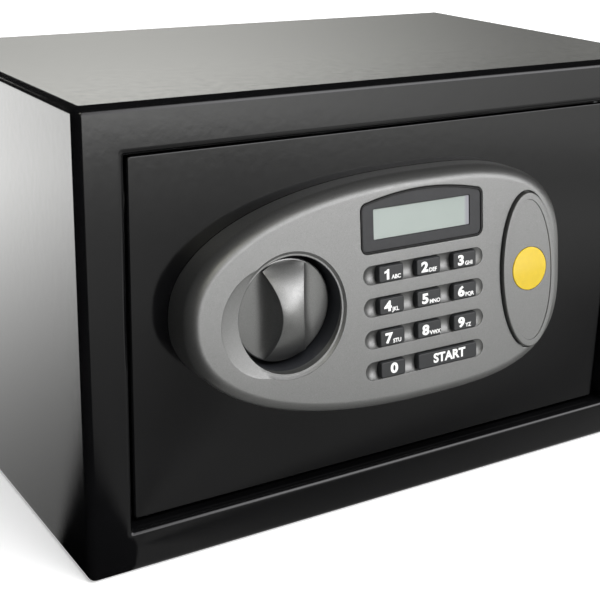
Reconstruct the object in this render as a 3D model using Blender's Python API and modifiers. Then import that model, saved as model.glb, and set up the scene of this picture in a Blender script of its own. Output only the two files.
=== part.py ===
"""An electronic in-room safe: a steel box, a hinged door with its bolt work, and a keypad panel.

Metres, +Z up. The origin is at the middle of the base of the whole object's box. The door faces -Y.
Depths run into the safe (+Y) from the front face of the door frame, so what stands proud is negative.
"""

import math

import bmesh
import bpy
from mathutils import Matrix, Vector

# Steel body
BODY_WIDTH = 0.310
BODY_HEIGHT = 0.200
BODY_DEPTH = 0.182
SHEET = 0.002
BEND_RADIUS = 0.0035
FRAME_WIDTH = 0.020
LIP_DEPTH = 0.019
LIP_RADIUS = 0.0018
MAT_THICKNESS = 0.003
ANCHOR_RADIUS = 0.005
ANCHOR_X = 0.075
BASE_ANCHOR_DEPTH = 0.120
REAR_ANCHOR_Z = 0.110

# How far the foot of the oval cover, the most proud point, stands off the door frame.
# It sets where the frame's front face is
PANEL_REACH = 0.01864
FRONT = (PANEL_REACH - BODY_DEPTH) / 2

# Door
DOOR_RECESS = 0.006
DOOR_THICKNESS = 0.004
DOOR_BACK = DOOR_RECESS + DOOR_THICKNESS
DOOR_SIDE_GAP = 0.003
DOOR_END_GAP = 0.002
DOOR_HALF_WIDTH = BODY_WIDTH / 2 - FRAME_WIDTH - DOOR_SIDE_GAP
DOOR_LOW = FRAME_WIDTH + DOOR_END_GAP
DOOR_HIGH = BODY_HEIGHT - FRAME_WIDTH - DOOR_END_GAP
HINGE_X = 0.119
HINGE_DEPTH = 0.0135
PIN_RADIUS = 0.0025
PIN_HOLE_RADIUS = 0.0026
PIN_REACH = 0.0095
KNUCKLE_HEIGHT = 0.0137

# The gap left between two solids that touch on the real safe
GAP = 0.0003

# Keypad panel: two half superellipses, a wall square to the door and a tilted face
PANEL_TILT = math.radians(6.8)
PANEL_PROUD = 0.0125
PANEL_X = 0.0035
PANEL_Z = 0.1089
PANEL_HALF_HEIGHT = 0.0512
PANEL_LEFT = 0.1188
PANEL_LEFT_POWER = 2.25
PANEL_RIGHT = 0.0800
PANEL_RIGHT_POWER = 3.1
PANEL_FILLET = 0.0055
PANEL_SKIN = 0.0022
PANEL_POINTS = 72

# Knob, in its round well with a finger scoop to the left
KNOB_X = -0.067
KNOB_Z = 0.108
KNOB_RADIUS = 0.0230
KNOB_FACE_DEPTH = -0.0047
KNOB_BACK_DEPTH = 0.0030
WELL_RADIUS = 0.0248
WELL_WALL = 0.0024
GRIP_WAIST = 0.0053
GRIP_FLARE = 0.0069
GRIP_HEIGHT = 0.0094
GRIP_HALF_LENGTH = 0.0220
GRIP_LEAN = math.radians(2.8)
SCOOP_U = -0.078
SCOOP_V = -0.005
SCOOP_RADIUS = 0.023
SCOOP_SINK = 0.003
SPINDLE_RADIUS = 0.003

# Keys and display, placed on the tilted face: U to the right, V up the face, W out of it
KEY_PITCH_U = 0.0202
KEY_PITCH_V = 0.0143
KEY_MID_U = 0.0027
KEY_TOP_ROW_V = 0.0100
KEY_WIDTH = 0.0133
KEY_HEIGHT = 0.0074
KEY_PROUD = 0.0015
KEY_FOOT = -0.0045
KEY_CLEARANCE = 0.00035
SLOT_LEFT = -0.0311
SLOT_RIGHT = 0.0343
SLOT_HEIGHT = 0.0082
SLOT_SINK = 0.0015
WINDOW_LEFT = -0.0317
WINDOW_RIGHT = 0.0340
WINDOW_LOW = 0.0197
WINDOW_SHOULDER = 0.0393
WINDOW_RISE = 0.0053
WINDOW_CORNER = 0.0030
GLASS_LEFT = -0.0253
GLASS_RIGHT = 0.0274
GLASS_LOW = 0.0251
GLASS_HIGH = 0.0381

# Oval cover over the override lock, and its round badge
COVER_U = 0.0614
COVER_V = -0.0010
COVER_HALF_WIDTH = 0.0160
COVER_HALF_HEIGHT = 0.0368
COVER_LEAN = math.radians(1.6)
COVER_PROUD = 0.0017
COVER_GROOVE = 0.0009
COVER_SINK = 0.0025
DISH_HALF_WIDTH = 0.0132
DISH_HALF_HEIGHT = 0.0334
DISH_SINK = 0.0004
BADGE_U = 0.0613
BADGE_V = 0.0
BADGE_RADIUS = 0.0101
LOCK_X = 0.0602
LOCK_Z = 0.1085
LOCK_RADIUS = 0.008
PLUG_RADIUS = 0.005

# Bolt work behind the door
BOLT_RADIUS = 0.006
BOLT_DEPTH = 0.0265
BOLT_SPREAD = 0.0225
BOLT_TIP_X = -0.128
CARRIAGE_LEFT = -0.096
CARRIAGE_RIGHT = -0.042
CARRIAGE_DEPTH = 0.014
CARRIAGE_SHEET = 0.003
CAM_RADIUS = 0.016
CAM_DEPTH = 0.0195
CAM_THICKNESS = 0.003
CAM_PIN_THROW = 0.012
CAM_PIN_RADIUS = 0.0025
BOLT_TRAVEL = 2 * CAM_PIN_THROW * math.cos(math.radians(45))

# Solenoid beside the cam: its plunger drops into a notch in the cam's rim
COIL_DEPTH = 0.021
COIL_LEFT = -0.040
COIL_RIGHT = -0.010
COIL_RADIUS = 0.008
COIL_FRAME = 0.0015
PLUNGER_RADIUS = 0.0025
PLUNGER_TIP_X = KNOB_X + CAM_RADIUS + 0.0007
NOTCH_SINK = 0.0048

# Cover on the inside of the door, and what is behind it
COVER_BOX_X = (-0.122, 0.104)
COVER_BOX_Z = (0.034, 0.166)
COVER_FLANGE_Z = (0.026, 0.174)
COVER_BOX_DEPTH = 0.040
COVER_SHEET = 0.0016
TRAY_X = (-0.012, 0.101)
TRAY_Z = (0.0365, 0.0705)
TRAY_DEPTH = (0.020, 0.0375)
TRAY_WALL = 0.0012
CELL_RADIUS = 0.0071
CELL_LENGTH = 0.0503
RESET_X = 0.088
RESET_Z = 0.150
RESET_RADIUS = 0.003
LEAD_X = 0.020
LEAD_Z = 0.090
LEAD_RADIUS = 0.0022
SCREW_SHANK = 0.0015
SCREW_HOLE = 0.0019

FINE = 48
ROUND = 24


def clear_scene():
    for thing in list(bpy.data.objects):
        bpy.data.objects.remove(thing, do_unlink=True)


def new_collection(name):
    group = bpy.data.collections.new(name)
    bpy.context.scene.collection.children.link(group)
    return group


def finish(name, colour, roughness, metallic=0.0):
    """A Principled material of one object."""
    material = bpy.data.materials.new(name)
    material.use_nodes = True
    shader = material.node_tree.nodes["Principled BSDF"]
    shader.inputs["Base Color"].default_value = (*colour, 1)
    shader.inputs["Roughness"].default_value = roughness
    shader.inputs["Metallic"].default_value = metallic
    return material


BLACK_PAINT = ((0.012, 0.012, 0.012), 0.25, 0.0)
SILVER_PAINT = ((0.30, 0.31, 0.31), 0.38, 0.6)
STEEL = ((0.55, 0.56, 0.57), 0.30, 1.0)
ZINC = ((0.62, 0.60, 0.52), 0.35, 1.0)
DARK_PLASTIC = ((0.020, 0.020, 0.022), 0.45, 0.0)
GREY_PLASTIC = ((0.060, 0.060, 0.065), 0.40, 0.0)
FELT = ((0.020, 0.021, 0.024), 0.95, 0.0)
GLASS_GREY = ((0.48, 0.54, 0.48), 0.15, 0.0)
GREEN_BOARD = ((0.010, 0.120, 0.045), 0.40, 0.0)
COPPER = ((0.55, 0.22, 0.10), 0.40, 1.0)
YELLOW = ((0.95, 0.68, 0.01), 0.25, 0.0)
CELL_JACKET = ((0.03, 0.10, 0.16), 0.35, 0.2)
RED_RUBBER = ((0.45, 0.03, 0.02), 0.50, 0.0)
BRASS = ((0.72, 0.52, 0.20), 0.30, 1.0)


def spot(x, depth, z):
    return Vector((x, FRONT + depth, z))


def panel_frame():
    """The tilted face's own frame: its X is U, its Y is V and its Z is W, out of the face."""
    middle = spot(0, -PANEL_PROUD, PANEL_Z)
    return Matrix.Translation(middle) @ Matrix.Rotation(math.radians(90) - PANEL_TILT, 4, "X")


def facing_out(x, depth, z):
    """A frame whose Z points out of the door (-Y), with X to the right and Y up."""
    return Matrix.Translation(spot(x, depth, z)) @ Matrix.Rotation(math.radians(90), 4, "X")


def facing_left(x, depth, z):
    """A frame whose Z points along -X."""
    return Matrix.Translation(spot(x, depth, z)) @ Matrix.Rotation(math.radians(-90), 4, "Y")


def add(name, mesh, look, parent=None, frame=None):
    """An object of the safe, or a hidden cutter where it has no look."""
    thing = bpy.data.objects.new(name, mesh)
    if frame is not None:
        thing.matrix_world = frame
    if look is None:
        CUTTERS.objects.link(thing)
        thing.hide_render = True
        thing.display_type = "WIRE"
        return thing
    SAFE.objects.link(thing)
    mesh.materials.clear()
    mesh.materials.append(finish(name, *look))
    mesh.shade_smooth()
    mesh.set_sharp_from_angle(angle=math.radians(35))
    if parent is not None:
        thing.parent = parent
        thing.matrix_parent_inverse = parent.matrix_world.inverted()
    return thing


def pivot(name, place, parent=None):
    """An empty on a joint's axis, which carries the pieces that move about it."""
    empty = bpy.data.objects.new(name, None)
    empty.empty_display_size = 0.02
    SAFE.objects.link(empty)
    empty.location = place
    if parent is not None:
        empty.parent = parent
        empty.matrix_parent_inverse = parent.matrix_world.inverted()
    bpy.context.view_layer.update()
    return empty


def mesh_from(name, shape):
    mesh = bpy.data.meshes.new(name)
    bmesh.ops.recalc_face_normals(shape, faces=shape.faces)
    shape.to_mesh(mesh)
    shape.free()
    return mesh


def cuboid(name, low, high, look=None, parent=None, frame=None):
    """A box between two corners of a frame, with its origin at its middle."""
    shape = bmesh.new()
    bmesh.ops.create_cube(shape, size=1)
    bmesh.ops.scale(shape, vec=Vector(high) - Vector(low), verts=shape.verts)
    middle = Matrix.Translation((Vector(low) + Vector(high)) / 2)
    frame = middle if frame is None else frame @ middle
    return add(name, mesh_from(name, shape), look, parent, frame)


def block(name, x, depth, z, look=None, parent=None):
    """A box between two x values, two depths and two heights."""
    return cuboid(name, spot(x[0], depth[0], z[0]), spot(x[1], depth[1], z[1]), look, parent)


def cylinder(name, frame, radius, low, high, look=None, parent=None, sides=ROUND):
    """A cylinder along its frame's Z, from low to high."""
    shape = bmesh.new()
    bmesh.ops.create_cone(
        shape, cap_ends=True, segments=sides, radius1=radius, radius2=radius, depth=high - low
    )
    frame = frame @ Matrix.Translation((0, 0, (low + high) / 2))
    return add(name, mesh_from(name, shape), look, parent, frame)


def turned(name, profile, frame, look=None, parent=None, steps=ROUND):
    """A profile of (radius, height) points, top to bottom down its outer side, turned about Z."""
    mesh = bpy.data.meshes.new(name)
    points = [(radius, 0, height) for radius, height in profile]
    mesh.from_pydata(points, [(i, i + 1) for i in range(len(points) - 1)], [])
    thing = add(name, mesh, look, parent, frame)
    screw = thing.modifiers.new("Turn", "SCREW")
    screw.axis = "Z"
    screw.steps = steps
    screw.render_steps = steps
    screw.use_merge_vertices = True
    screw.merge_threshold = 0.00001
    return thing


def flat_solid(name, outlines, low, high, frame, look=None, parent=None):
    """A flat outline with any holes, filled and made as thick as low to high, as a welded mesh."""
    curve = bpy.data.curves.new(name, "CURVE")
    curve.dimensions = "2D"
    curve.fill_mode = "BOTH"
    curve.extrude = (high - low) / 2
    for outline in outlines:
        spline = curve.splines.new("POLY")
        spline.points.add(len(outline) - 1)
        for point, (u, v) in zip(spline.points, outline):
            point.co = (u, v, 0, 1)
        spline.use_cyclic_u = True
    guide = bpy.data.objects.new(name + "_guide", curve)
    frame = frame @ Matrix.Translation((0, 0, (low + high) / 2))
    return add(name, welded_mesh(name, guide), look, parent, frame)


def welded_mesh(name, guide):
    """The mesh of a curve object, with its caps welded on. The curve is removed."""
    bpy.context.scene.collection.objects.link(guide)
    graph = bpy.context.evaluated_depsgraph_get()
    mesh = bpy.data.meshes.new_from_object(guide.evaluated_get(graph))
    bpy.data.objects.remove(guide, do_unlink=True)
    shape = bmesh.new()
    shape.from_mesh(mesh)
    bmesh.ops.remove_doubles(shape, verts=shape.verts, dist=0.000001)
    bmesh.ops.recalc_face_normals(shape, faces=shape.faces)
    shape.to_mesh(mesh)
    shape.free()
    mesh.name = name
    return mesh


def tube(name, points, radius, look, parent):
    """A round wire or cable through a list of points."""
    curve = bpy.data.curves.new(name, "CURVE")
    curve.dimensions = "3D"
    curve.bevel_depth = radius
    curve.bevel_resolution = 2
    curve.use_fill_caps = True
    spline = curve.splines.new("POLY")
    spline.points.add(len(points) - 1)
    for point, place in zip(spline.points, points):
        point.co = (*place, 1)
    guide = bpy.data.objects.new(name + "_guide", curve)
    return add(name, welded_mesh(name, guide), look, parent)


def loft(name, rings, look=None, parent=None):
    """A closed solid through rings of as many points each, capped at both ends."""
    shape = bmesh.new()
    rows = [[shape.verts.new(point) for point in ring] for ring in rings]
    count = len(rows[0])
    for row, following in zip(rows, rows[1:]):
        for i in range(count):
            after = (i + 1) % count
            shape.faces.new((row[i], row[after], following[after], following[i]))
    shape.faces.new(rows[0])
    shape.faces.new(rows[-1])
    return add(name, mesh_from(name, shape), look, parent)


def carve(thing, *cutters):
    """Cuts each cutter out of the thing."""
    for cutter in cutters:
        boolean = thing.modifiers.new(cutter.name, "BOOLEAN")
        boolean.operation = "DIFFERENCE"
        boolean.solver = "EXACT"
        boolean.object = cutter
    return thing


def fuse(thing, *others):
    """Joins each other helper to the thing."""
    for other in others:
        boolean = thing.modifiers.new(other.name, "BOOLEAN")
        boolean.operation = "UNION"
        boolean.solver = "EXACT"
        boolean.object = other
    return thing


def round_edges(thing, radius, segments=2, angle=40):
    bevel = thing.modifiers.new("Round", "BEVEL")
    bevel.width = radius
    bevel.segments = segments
    bevel.limit_method = "ANGLE"
    bevel.angle_limit = math.radians(angle)
    return thing


def arc(middle, radius, start, end, count):
    """Points on an arc between two angles in degrees, both ends included."""
    angles = [math.radians(start + (end - start) * i / (count - 1)) for i in range(count)]
    return [(middle[0] + radius * math.cos(a), middle[1] + radius * math.sin(a)) for a in angles]


def rounded_rectangle(left, right, low, high, radius, count=5):
    corners = (
        ((right - radius, low + radius), -90),
        ((right - radius, high - radius), 0),
        ((left + radius, high - radius), 90),
        ((left + radius, low + radius), 180),
    )
    return [point for middle, start in corners for point in arc(middle, radius, start, start + 90, count)]


def ellipse(middle, half_width, half_height, lean=0.0, count=FINE):
    points = []
    for i in range(count):
        angle = 2 * math.pi * i / count
        u, v = half_width * math.cos(angle), half_height * math.sin(angle)
        points.append(
            (
                middle[0] + u * math.cos(lean) - v * math.sin(lean),
                middle[1] + u * math.sin(lean) + v * math.cos(lean),
            )
        )
    return points


# ---------------------------------------------------------------- body


def rectangle_ring(grow, depth):
    """The frame opening's four corners, grown outwards, at a depth."""
    x = BODY_WIDTH / 2 - FRAME_WIDTH + grow
    low, high = FRAME_WIDTH - grow, BODY_HEIGHT - FRAME_WIDTH + grow
    return [spot(-x, depth, low), spot(x, depth, low), spot(x, depth, high), spot(-x, depth, high)]


def frame_opening():
    """The cutter of the door opening: its front edges are flared to round the frame's bend."""
    rings = [rectangle_ring(LIP_RADIUS, -0.002)]
    for step in range(5):
        angle = math.radians(90 * step / 4)
        grow = LIP_RADIUS * (1 - math.sin(angle))
        rings.append(rectangle_ring(grow, LIP_RADIUS * (1 - math.cos(angle))))
    rings.append(rectangle_ring(0, LIP_DEPTH + 0.001))
    return loft("cut_frame_opening", rings)


def hinge_hole(name, low, high):
    frame = Matrix.Translation(spot(HINGE_X, HINGE_DEPTH, 0))
    return cylinder(name, frame, PIN_HOLE_RADIUS, low, high)


def body_shell():
    """The folded steel box: walls, front frame and the lip turned inwards round the opening."""
    outside = (-BODY_WIDTH / 2, BODY_WIDTH / 2)
    shell = block("body_shell", outside, (0, BODY_DEPTH), (0, BODY_HEIGHT), BLACK_PAINT)
    weigh_front_edges(shell)
    inside = BODY_WIDTH / 2 - SHEET
    cavity = block(
        "cut_body_cavity", (-inside, inside), (SHEET, BODY_DEPTH + 0.002), (SHEET, BODY_HEIGHT - SHEET)
    )
    lip_x = BODY_WIDTH / 2 - FRAME_WIDTH + SHEET
    lip = block(
        "cut_lip_keep",
        (-lip_x, lip_x),
        (-0.001, LIP_DEPTH),
        (FRAME_WIDTH - SHEET, BODY_HEIGHT - FRAME_WIDTH + SHEET),
    )
    carve(cavity, lip)
    carve(shell, cavity, frame_opening())
    carve(
        shell,
        hinge_hole("cut_lip_pin_upper", DOOR_HIGH - 0.003, DOOR_HIGH + 0.012),
        hinge_hole("cut_lip_pin_lower", DOOR_LOW - 0.012, DOOR_LOW + 0.003),
    )
    for side, x in (("left", -ANCHOR_X), ("right", ANCHOR_X)):
        frame = Matrix.Translation(spot(x, BASE_ANCHOR_DEPTH, 0))
        carve(shell, cylinder("cut_base_anchor_" + side, frame, ANCHOR_RADIUS, -0.002, 0.004))
    return shell


def weigh_front_edges(shell):
    """Rounds every edge of the box but those of its open rear end."""
    shape = bmesh.new()
    shape.from_mesh(shell.data)
    weights = shape.edges.layers.float.new("bevel_weight_edge")
    rear = max(vertex.co.y for vertex in shape.verts)
    for edge in shape.edges:
        edge[weights] = 0.0 if all(abs(vertex.co.y - rear) < 1e-6 for vertex in edge.verts) else 1.0
    shape.to_mesh(shell.data)
    shape.free()
    bevel = shell.modifiers.new("Bends", "BEVEL")
    bevel.width = BEND_RADIUS
    bevel.segments = 4
    bevel.limit_method = "WEIGHT"


def back_panel():
    edge = SHEET + GAP
    panel = block(
        "back_panel",
        (edge - BODY_WIDTH / 2, BODY_WIDTH / 2 - edge),
        (BODY_DEPTH - SHEET, BODY_DEPTH),
        (edge, BODY_HEIGHT - edge),
        BLACK_PAINT,
    )
    for side, x in (("left", -ANCHOR_X), ("right", ANCHOR_X)):
        frame = facing_out(x, BODY_DEPTH, REAR_ANCHOR_Z)
        carve(panel, cylinder("cut_rear_anchor_" + side, frame, ANCHOR_RADIUS, -0.003, 0.005))


def floor_mat():
    """Felt on the floor of the safe, with a hole over each anchor hole."""
    x = BODY_WIDTH / 2 - SHEET - 0.002
    low = SHEET + GAP
    mat = block("floor_mat", (-x, x), (0.004, BODY_DEPTH - 0.0035), (low, low + MAT_THICKNESS), FELT)
    round_edges(mat, 0.0008, 1)
    for side, x in (("left", -ANCHOR_X), ("right", ANCHOR_X)):
        frame = Matrix.Translation(spot(x, BASE_ANCHOR_DEPTH, 0))
        carve(mat, cylinder("cut_mat_anchor_" + side, frame, ANCHOR_RADIUS + 0.002, 0.001, 0.007))


def hinge_brackets():
    """Steel plates behind the lip that back up the holes for the hinge pins."""
    thickness = 0.004
    top = BODY_HEIGHT - FRAME_WIDTH + SHEET + GAP
    for end, low in (("upper", top), ("lower", BODY_HEIGHT - top - thickness)):
        bracket = block(
            "hinge_bracket_" + end,
            (HINGE_X - 0.011, HINGE_X + 0.011),
            (SHEET + GAP, LIP_DEPTH),
            (low, low + thickness),
            ZINC,
        )
        round_edges(bracket, 0.0006, 1)
        carve(bracket, hinge_hole("cut_bracket_pin_" + end, low - 0.002, low + thickness + 0.002))


# ---------------------------------------------------------------- door


def door_panel(door):
    panel = block(
        "door_panel",
        (-DOOR_HALF_WIDTH, DOOR_HALF_WIDTH),
        (DOOR_RECESS, DOOR_BACK),
        (DOOR_LOW, DOOR_HIGH),
        BLACK_PAINT,
        door,
    )
    round_edges(panel, 0.0008, 2)
    holes = (
        ("spindle", KNOB_X, KNOB_Z, SPINDLE_RADIUS + 0.001),
        ("lock", LOCK_X, LOCK_Z, LOCK_RADIUS + GAP),
        ("lead", LEAD_X, LEAD_Z, LEAD_RADIUS + 0.0012),
    )
    for name, x, z, radius in holes:
        frame = facing_out(x, DOOR_RECESS, z)
        carve(panel, cylinder("cut_door_" + name, frame, radius, -DOOR_THICKNESS - 0.001, 0.001))
    for number, (x, z) in enumerate(screw_places(), 1):
        frame = facing_out(x, DOOR_BACK, z)
        carve(panel, cylinder("cut_door_screw_%d" % number, frame, SCREW_HOLE, -0.001, 0.0030, sides=12))


def hinge_parts(door):
    """On the door, a knuckle at each end of its right edge, and the pin that it holds."""
    under = DOOR_HIGH - KNUCKLE_HEIGHT
    over = DOOR_LOW + KNUCKLE_HEIGHT
    ends = (
        ("upper", under - GAP, under, DOOR_HIGH + PIN_REACH),
        ("lower", DOOR_LOW + GAP, DOOR_LOW - PIN_REACH, over),
    )
    frame = Matrix.Translation(spot(HINGE_X, HINGE_DEPTH, 0))
    for end, low, pin_low, pin_high in ends:
        high = low + KNUCKLE_HEIGHT
        knuckle = block(
            "hinge_knuckle_" + end,
            (HINGE_X - 0.007, HINGE_X + 0.007),
            (DOOR_BACK + GAP, HINGE_DEPTH + 0.0035),
            (low, high),
            BLACK_PAINT,
            door,
        )
        round_edges(knuckle, 0.0005, 1)
        carve(knuckle, hinge_hole("cut_knuckle_" + end, low - 0.001, high + 0.001))
        chamfer = 0.0006
        profile = (
            (0, pin_high),
            (PIN_RADIUS - chamfer, pin_high),
            (PIN_RADIUS, pin_high - chamfer),
            (PIN_RADIUS, pin_low + chamfer),
            (PIN_RADIUS - chamfer, pin_low),
            (0, pin_low),
        )
        turned("hinge_pin_" + end, profile, frame, STEEL, door)


# ---------------------------------------------------------------- keypad panel


def panel_outline(inset):
    """The panel's outline, drawn in by inset, as (x, z) points counter-clockwise from its right end."""
    points = []
    for i in range(PANEL_POINTS):
        angle = 2 * math.pi * i / PANEL_POINTS
        across, up = math.cos(angle), math.sin(angle)
        width, power = PANEL_LEFT, PANEL_LEFT_POWER
        if across > 0:
            width, power = PANEL_RIGHT, PANEL_RIGHT_POWER
        x = PANEL_X + math.copysign((width - inset) * abs(across) ** (2 / power), across)
        z = PANEL_Z + math.copysign((PANEL_HALF_HEIGHT - inset) * abs(up) ** (2 / power), up)
        points.append((x, z))
    return points


def panel_ring(inset, sink):
    """The outline on the tilted face, sunk below it."""
    ring = []
    for x, z in panel_outline(inset):
        lean = (z - PANEL_Z) * math.tan(PANEL_TILT)
        ring.append(spot(x, sink - PANEL_PROUD + lean, z))
    return ring


def panel_hull(name, inset, fillet, steps, look=None, parent=None, back=DOOR_RECESS - GAP):
    """The panel's outer form, or its hollow: a straight wall, a fillet and the tilted face."""
    rings = [[spot(x, back, z) for x, z in panel_outline(inset)]]
    for step in range(steps + 1):
        angle = math.radians(90 * step / steps)
        turn_in, drop = fillet * (1 - math.cos(angle)), fillet * (1 - math.sin(angle))
        rings.append(panel_ring(inset + turn_in, inset + drop))
    return loft(name, rings, look, parent)


def key_places():
    """Each key's name, its middle (u, v) and its width."""
    places = []
    for number in range(1, 10):
        row, column = divmod(number - 1, 3)
        u = KEY_MID_U + (column - 1) * KEY_PITCH_U
        places.append(("key_%d" % number, u, KEY_TOP_ROW_V - row * KEY_PITCH_V, KEY_WIDTH))
    v = KEY_TOP_ROW_V - 3 * KEY_PITCH_V
    places.append(("key_0", KEY_MID_U - KEY_PITCH_U, v, KEY_WIDTH))
    places.append(("key_start", KEY_MID_U + KEY_PITCH_U / 2, v, KEY_WIDTH + KEY_PITCH_U))
    return places


def window_outline(inset):
    """The display window's outline: rounded corners and an arched top."""
    left, right = WINDOW_LEFT + inset, WINDOW_RIGHT - inset
    low, corner = WINDOW_LOW + inset, WINDOW_CORNER - inset
    half = (WINDOW_RIGHT - WINDOW_LEFT) / 2
    radius = (half**2 + WINDOW_RISE**2) / (2 * WINDOW_RISE)
    middle = ((left + right) / 2, WINDOW_SHOULDER + WINDOW_RISE - radius)
    spread = math.degrees(math.asin((right - corner - middle[0]) / (radius - inset)))
    shoulder = middle[1] + (radius - inset) * math.cos(math.radians(spread)) - corner
    outline = arc((left + corner, low + corner), corner, 180, 270, 5)
    outline += arc((right - corner, low + corner), corner, 270, 360, 5)
    outline += arc((right - corner, shoulder), corner, 0, 80, 4)
    outline += arc(middle, radius - inset, 90 - spread, 90 + spread, 14)
    outline += arc((left + corner, shoulder), corner, 100, 180, 4)
    return outline


def keypad_bezel(door):
    """The moulded front panel: a hollow shell with a knob well, key slots and two windows."""
    face = panel_frame()
    bezel = panel_hull("keypad_bezel", 0, PANEL_FILLET, 5, SILVER_PAINT, door)
    past_back = DOOR_RECESS + 0.002
    hollow = panel_hull("cut_panel_hollow", PANEL_SKIN, PANEL_FILLET - PANEL_SKIN, 2, back=past_back)
    knob_frame = facing_out(KNOB_X, 0, KNOB_Z)
    carve(
        hollow,
        cylinder("cut_well_keep", knob_frame, WELL_RADIUS + WELL_WALL, -0.010, 0.030, sides=FINE),
        cylinder(
            "cut_scoop_keep",
            face @ Matrix.Translation((SCOOP_U, SCOOP_V, 0)),
            SCOOP_RADIUS + 0.0017,
            -0.0052,
            0.010,
            sides=FINE,
        ),
        flat_solid(
            "cut_cover_keep",
            [ellipse((COVER_U, COVER_V), COVER_HALF_WIDTH + 0.003, COVER_HALF_HEIGHT + 0.003, COVER_LEAN)],
            -0.0046,
            0.010,
            face,
        ),
    )
    carve(bezel, hollow)
    carve(bezel, cylinder("cut_well", knob_frame, WELL_RADIUS, -0.010, 0.030, sides=FINE), scoop(face))
    for row in range(4):
        v = KEY_TOP_ROW_V - row * KEY_PITCH_V
        ends = rounded_rectangle(
            SLOT_LEFT, SLOT_RIGHT, v - SLOT_HEIGHT / 2, v + SLOT_HEIGHT / 2, SLOT_HEIGHT / 2 - 0.0001, 6
        )
        carve(bezel, flat_solid("cut_slot_%d" % (row + 1), [ends], -SLOT_SINK, 0.005, face))
    for name, u, v, width in key_places():
        half, tall = width / 2 + KEY_CLEARANCE, KEY_HEIGHT / 2 + KEY_CLEARANCE
        low, high = (u - half, v - tall, -0.008), (u + half, v + tall, 0.004)
        carve(bezel, cuboid("cut_" + name, low, high, frame=face))
    carve(bezel, flat_solid("cut_window", [window_outline(0)], -0.010, 0.005, face))
    recess = ellipse(
        (COVER_U, COVER_V), COVER_HALF_WIDTH + COVER_GROOVE, COVER_HALF_HEIGHT + COVER_GROOVE, COVER_LEAN
    )
    carve(bezel, flat_solid("cut_cover_recess", [recess], -COVER_SINK, 0.006, face))
    lock_frame = facing_out(LOCK_X, 0, LOCK_Z)
    carve(bezel, cylinder("cut_lock_hole", lock_frame, LOCK_RADIUS + GAP, -0.006, 0.030))


def scoop(face):
    """The shallow spherical hollow that leads a finger to the knob."""
    radius = (SCOOP_RADIUS**2 + SCOOP_SINK**2) / (2 * SCOOP_SINK)
    profile = [(0, 0.006), (SCOOP_RADIUS * 1.15, 0.006)]
    for step in range(9):
        reach = SCOOP_RADIUS * 1.15 * (1 - step / 8)
        profile.append((reach, radius - SCOOP_SINK - math.sqrt(radius**2 - reach**2)))
    return turned("cut_scoop", profile, face @ Matrix.Translation((SCOOP_U, SCOOP_V, 0)), steps=FINE)


def display(door):
    """The window's seal, its dark surround with an aperture, and the display module behind it."""
    face = panel_frame()
    seal = [window_outline(GAP), window_outline(0.0011)]
    flat_solid("lcd_gasket", seal, -0.0020, -0.0002, face, DARK_PLASTIC, door)
    glass = rounded_rectangle(GLASS_LEFT, GLASS_RIGHT, GLASS_LOW, GLASS_HIGH, 0.0004, 2)
    flat_solid("lcd_window", [window_outline(0.0014), glass], -0.0022, -0.0004, face, GREY_PLASTIC, door)
    cuboid(
        "lcd_display",
        (GLASS_LEFT - 0.003, GLASS_LOW - 0.002, -0.0056),
        (GLASS_RIGHT + 0.003, GLASS_HIGH + 0.002, -0.0025),
        GLASS_GREY,
        door,
        face,
    )


def keypad_parts(door):
    """The rubber mat under the keys, and the circuit board that it lies on."""
    face = panel_frame()
    low = KEY_TOP_ROW_V - 3 * KEY_PITCH_V
    mat = cuboid(
        "keypad_mat",
        (-0.030, low - 0.006, -0.0077),
        (0.033, KEY_TOP_ROW_V + 0.006, -0.0059),
        DARK_PLASTIC,
        door,
        face,
    )
    round_edges(mat, 0.0004, 1)
    cuboid("control_board", (-0.034, -0.044, -0.0097), (0.036, 0.042, -0.0081), GREEN_BOARD, door, face)


def keys(door):
    """Eleven keys, each on its own slide square to the face."""
    face = panel_frame()
    for name, u, v, width in key_places():
        slide = pivot("slide_" + name, face @ Vector((u, v, KEY_PROUD)), door)
        key = cuboid(
            name,
            (u - width / 2, v - KEY_HEIGHT / 2, KEY_FOOT),
            (u + width / 2, v + KEY_HEIGHT / 2, KEY_PROUD),
            DARK_PLASTIC,
            slide,
            face,
        )
        round_edges(key, 0.0005, 2)


# ---------------------------------------------------------------- knob and bolt work


def knob_parts(door):
    """The knob, its spindle, and the cam that drives the bolt carriage."""
    axis = pivot("knob_axis", spot(KNOB_X, 0, KNOB_Z), door)
    out = facing_out(KNOB_X, 0, KNOB_Z)
    knob = cylinder("knob", out, KNOB_RADIUS, -KNOB_BACK_DEPTH, -KNOB_FACE_DEPTH, SILVER_PAINT, axis, FINE)
    round_edges(knob, 0.0006, 2)
    fuse(knob, grip())
    spindle_top, spindle_low = -KNOB_BACK_DEPTH - GAP, -(CAM_DEPTH + CAM_THICKNESS + 0.001)
    chamfer = 0.0005
    profile = (
        (0, spindle_top),
        (SPINDLE_RADIUS, spindle_top),
        (SPINDLE_RADIUS, spindle_low + chamfer),
        (SPINDLE_RADIUS - chamfer, spindle_low),
        (0, spindle_low),
    )
    turned("knob_spindle", profile, out, STEEL, axis)
    cam(axis, out)


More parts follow.
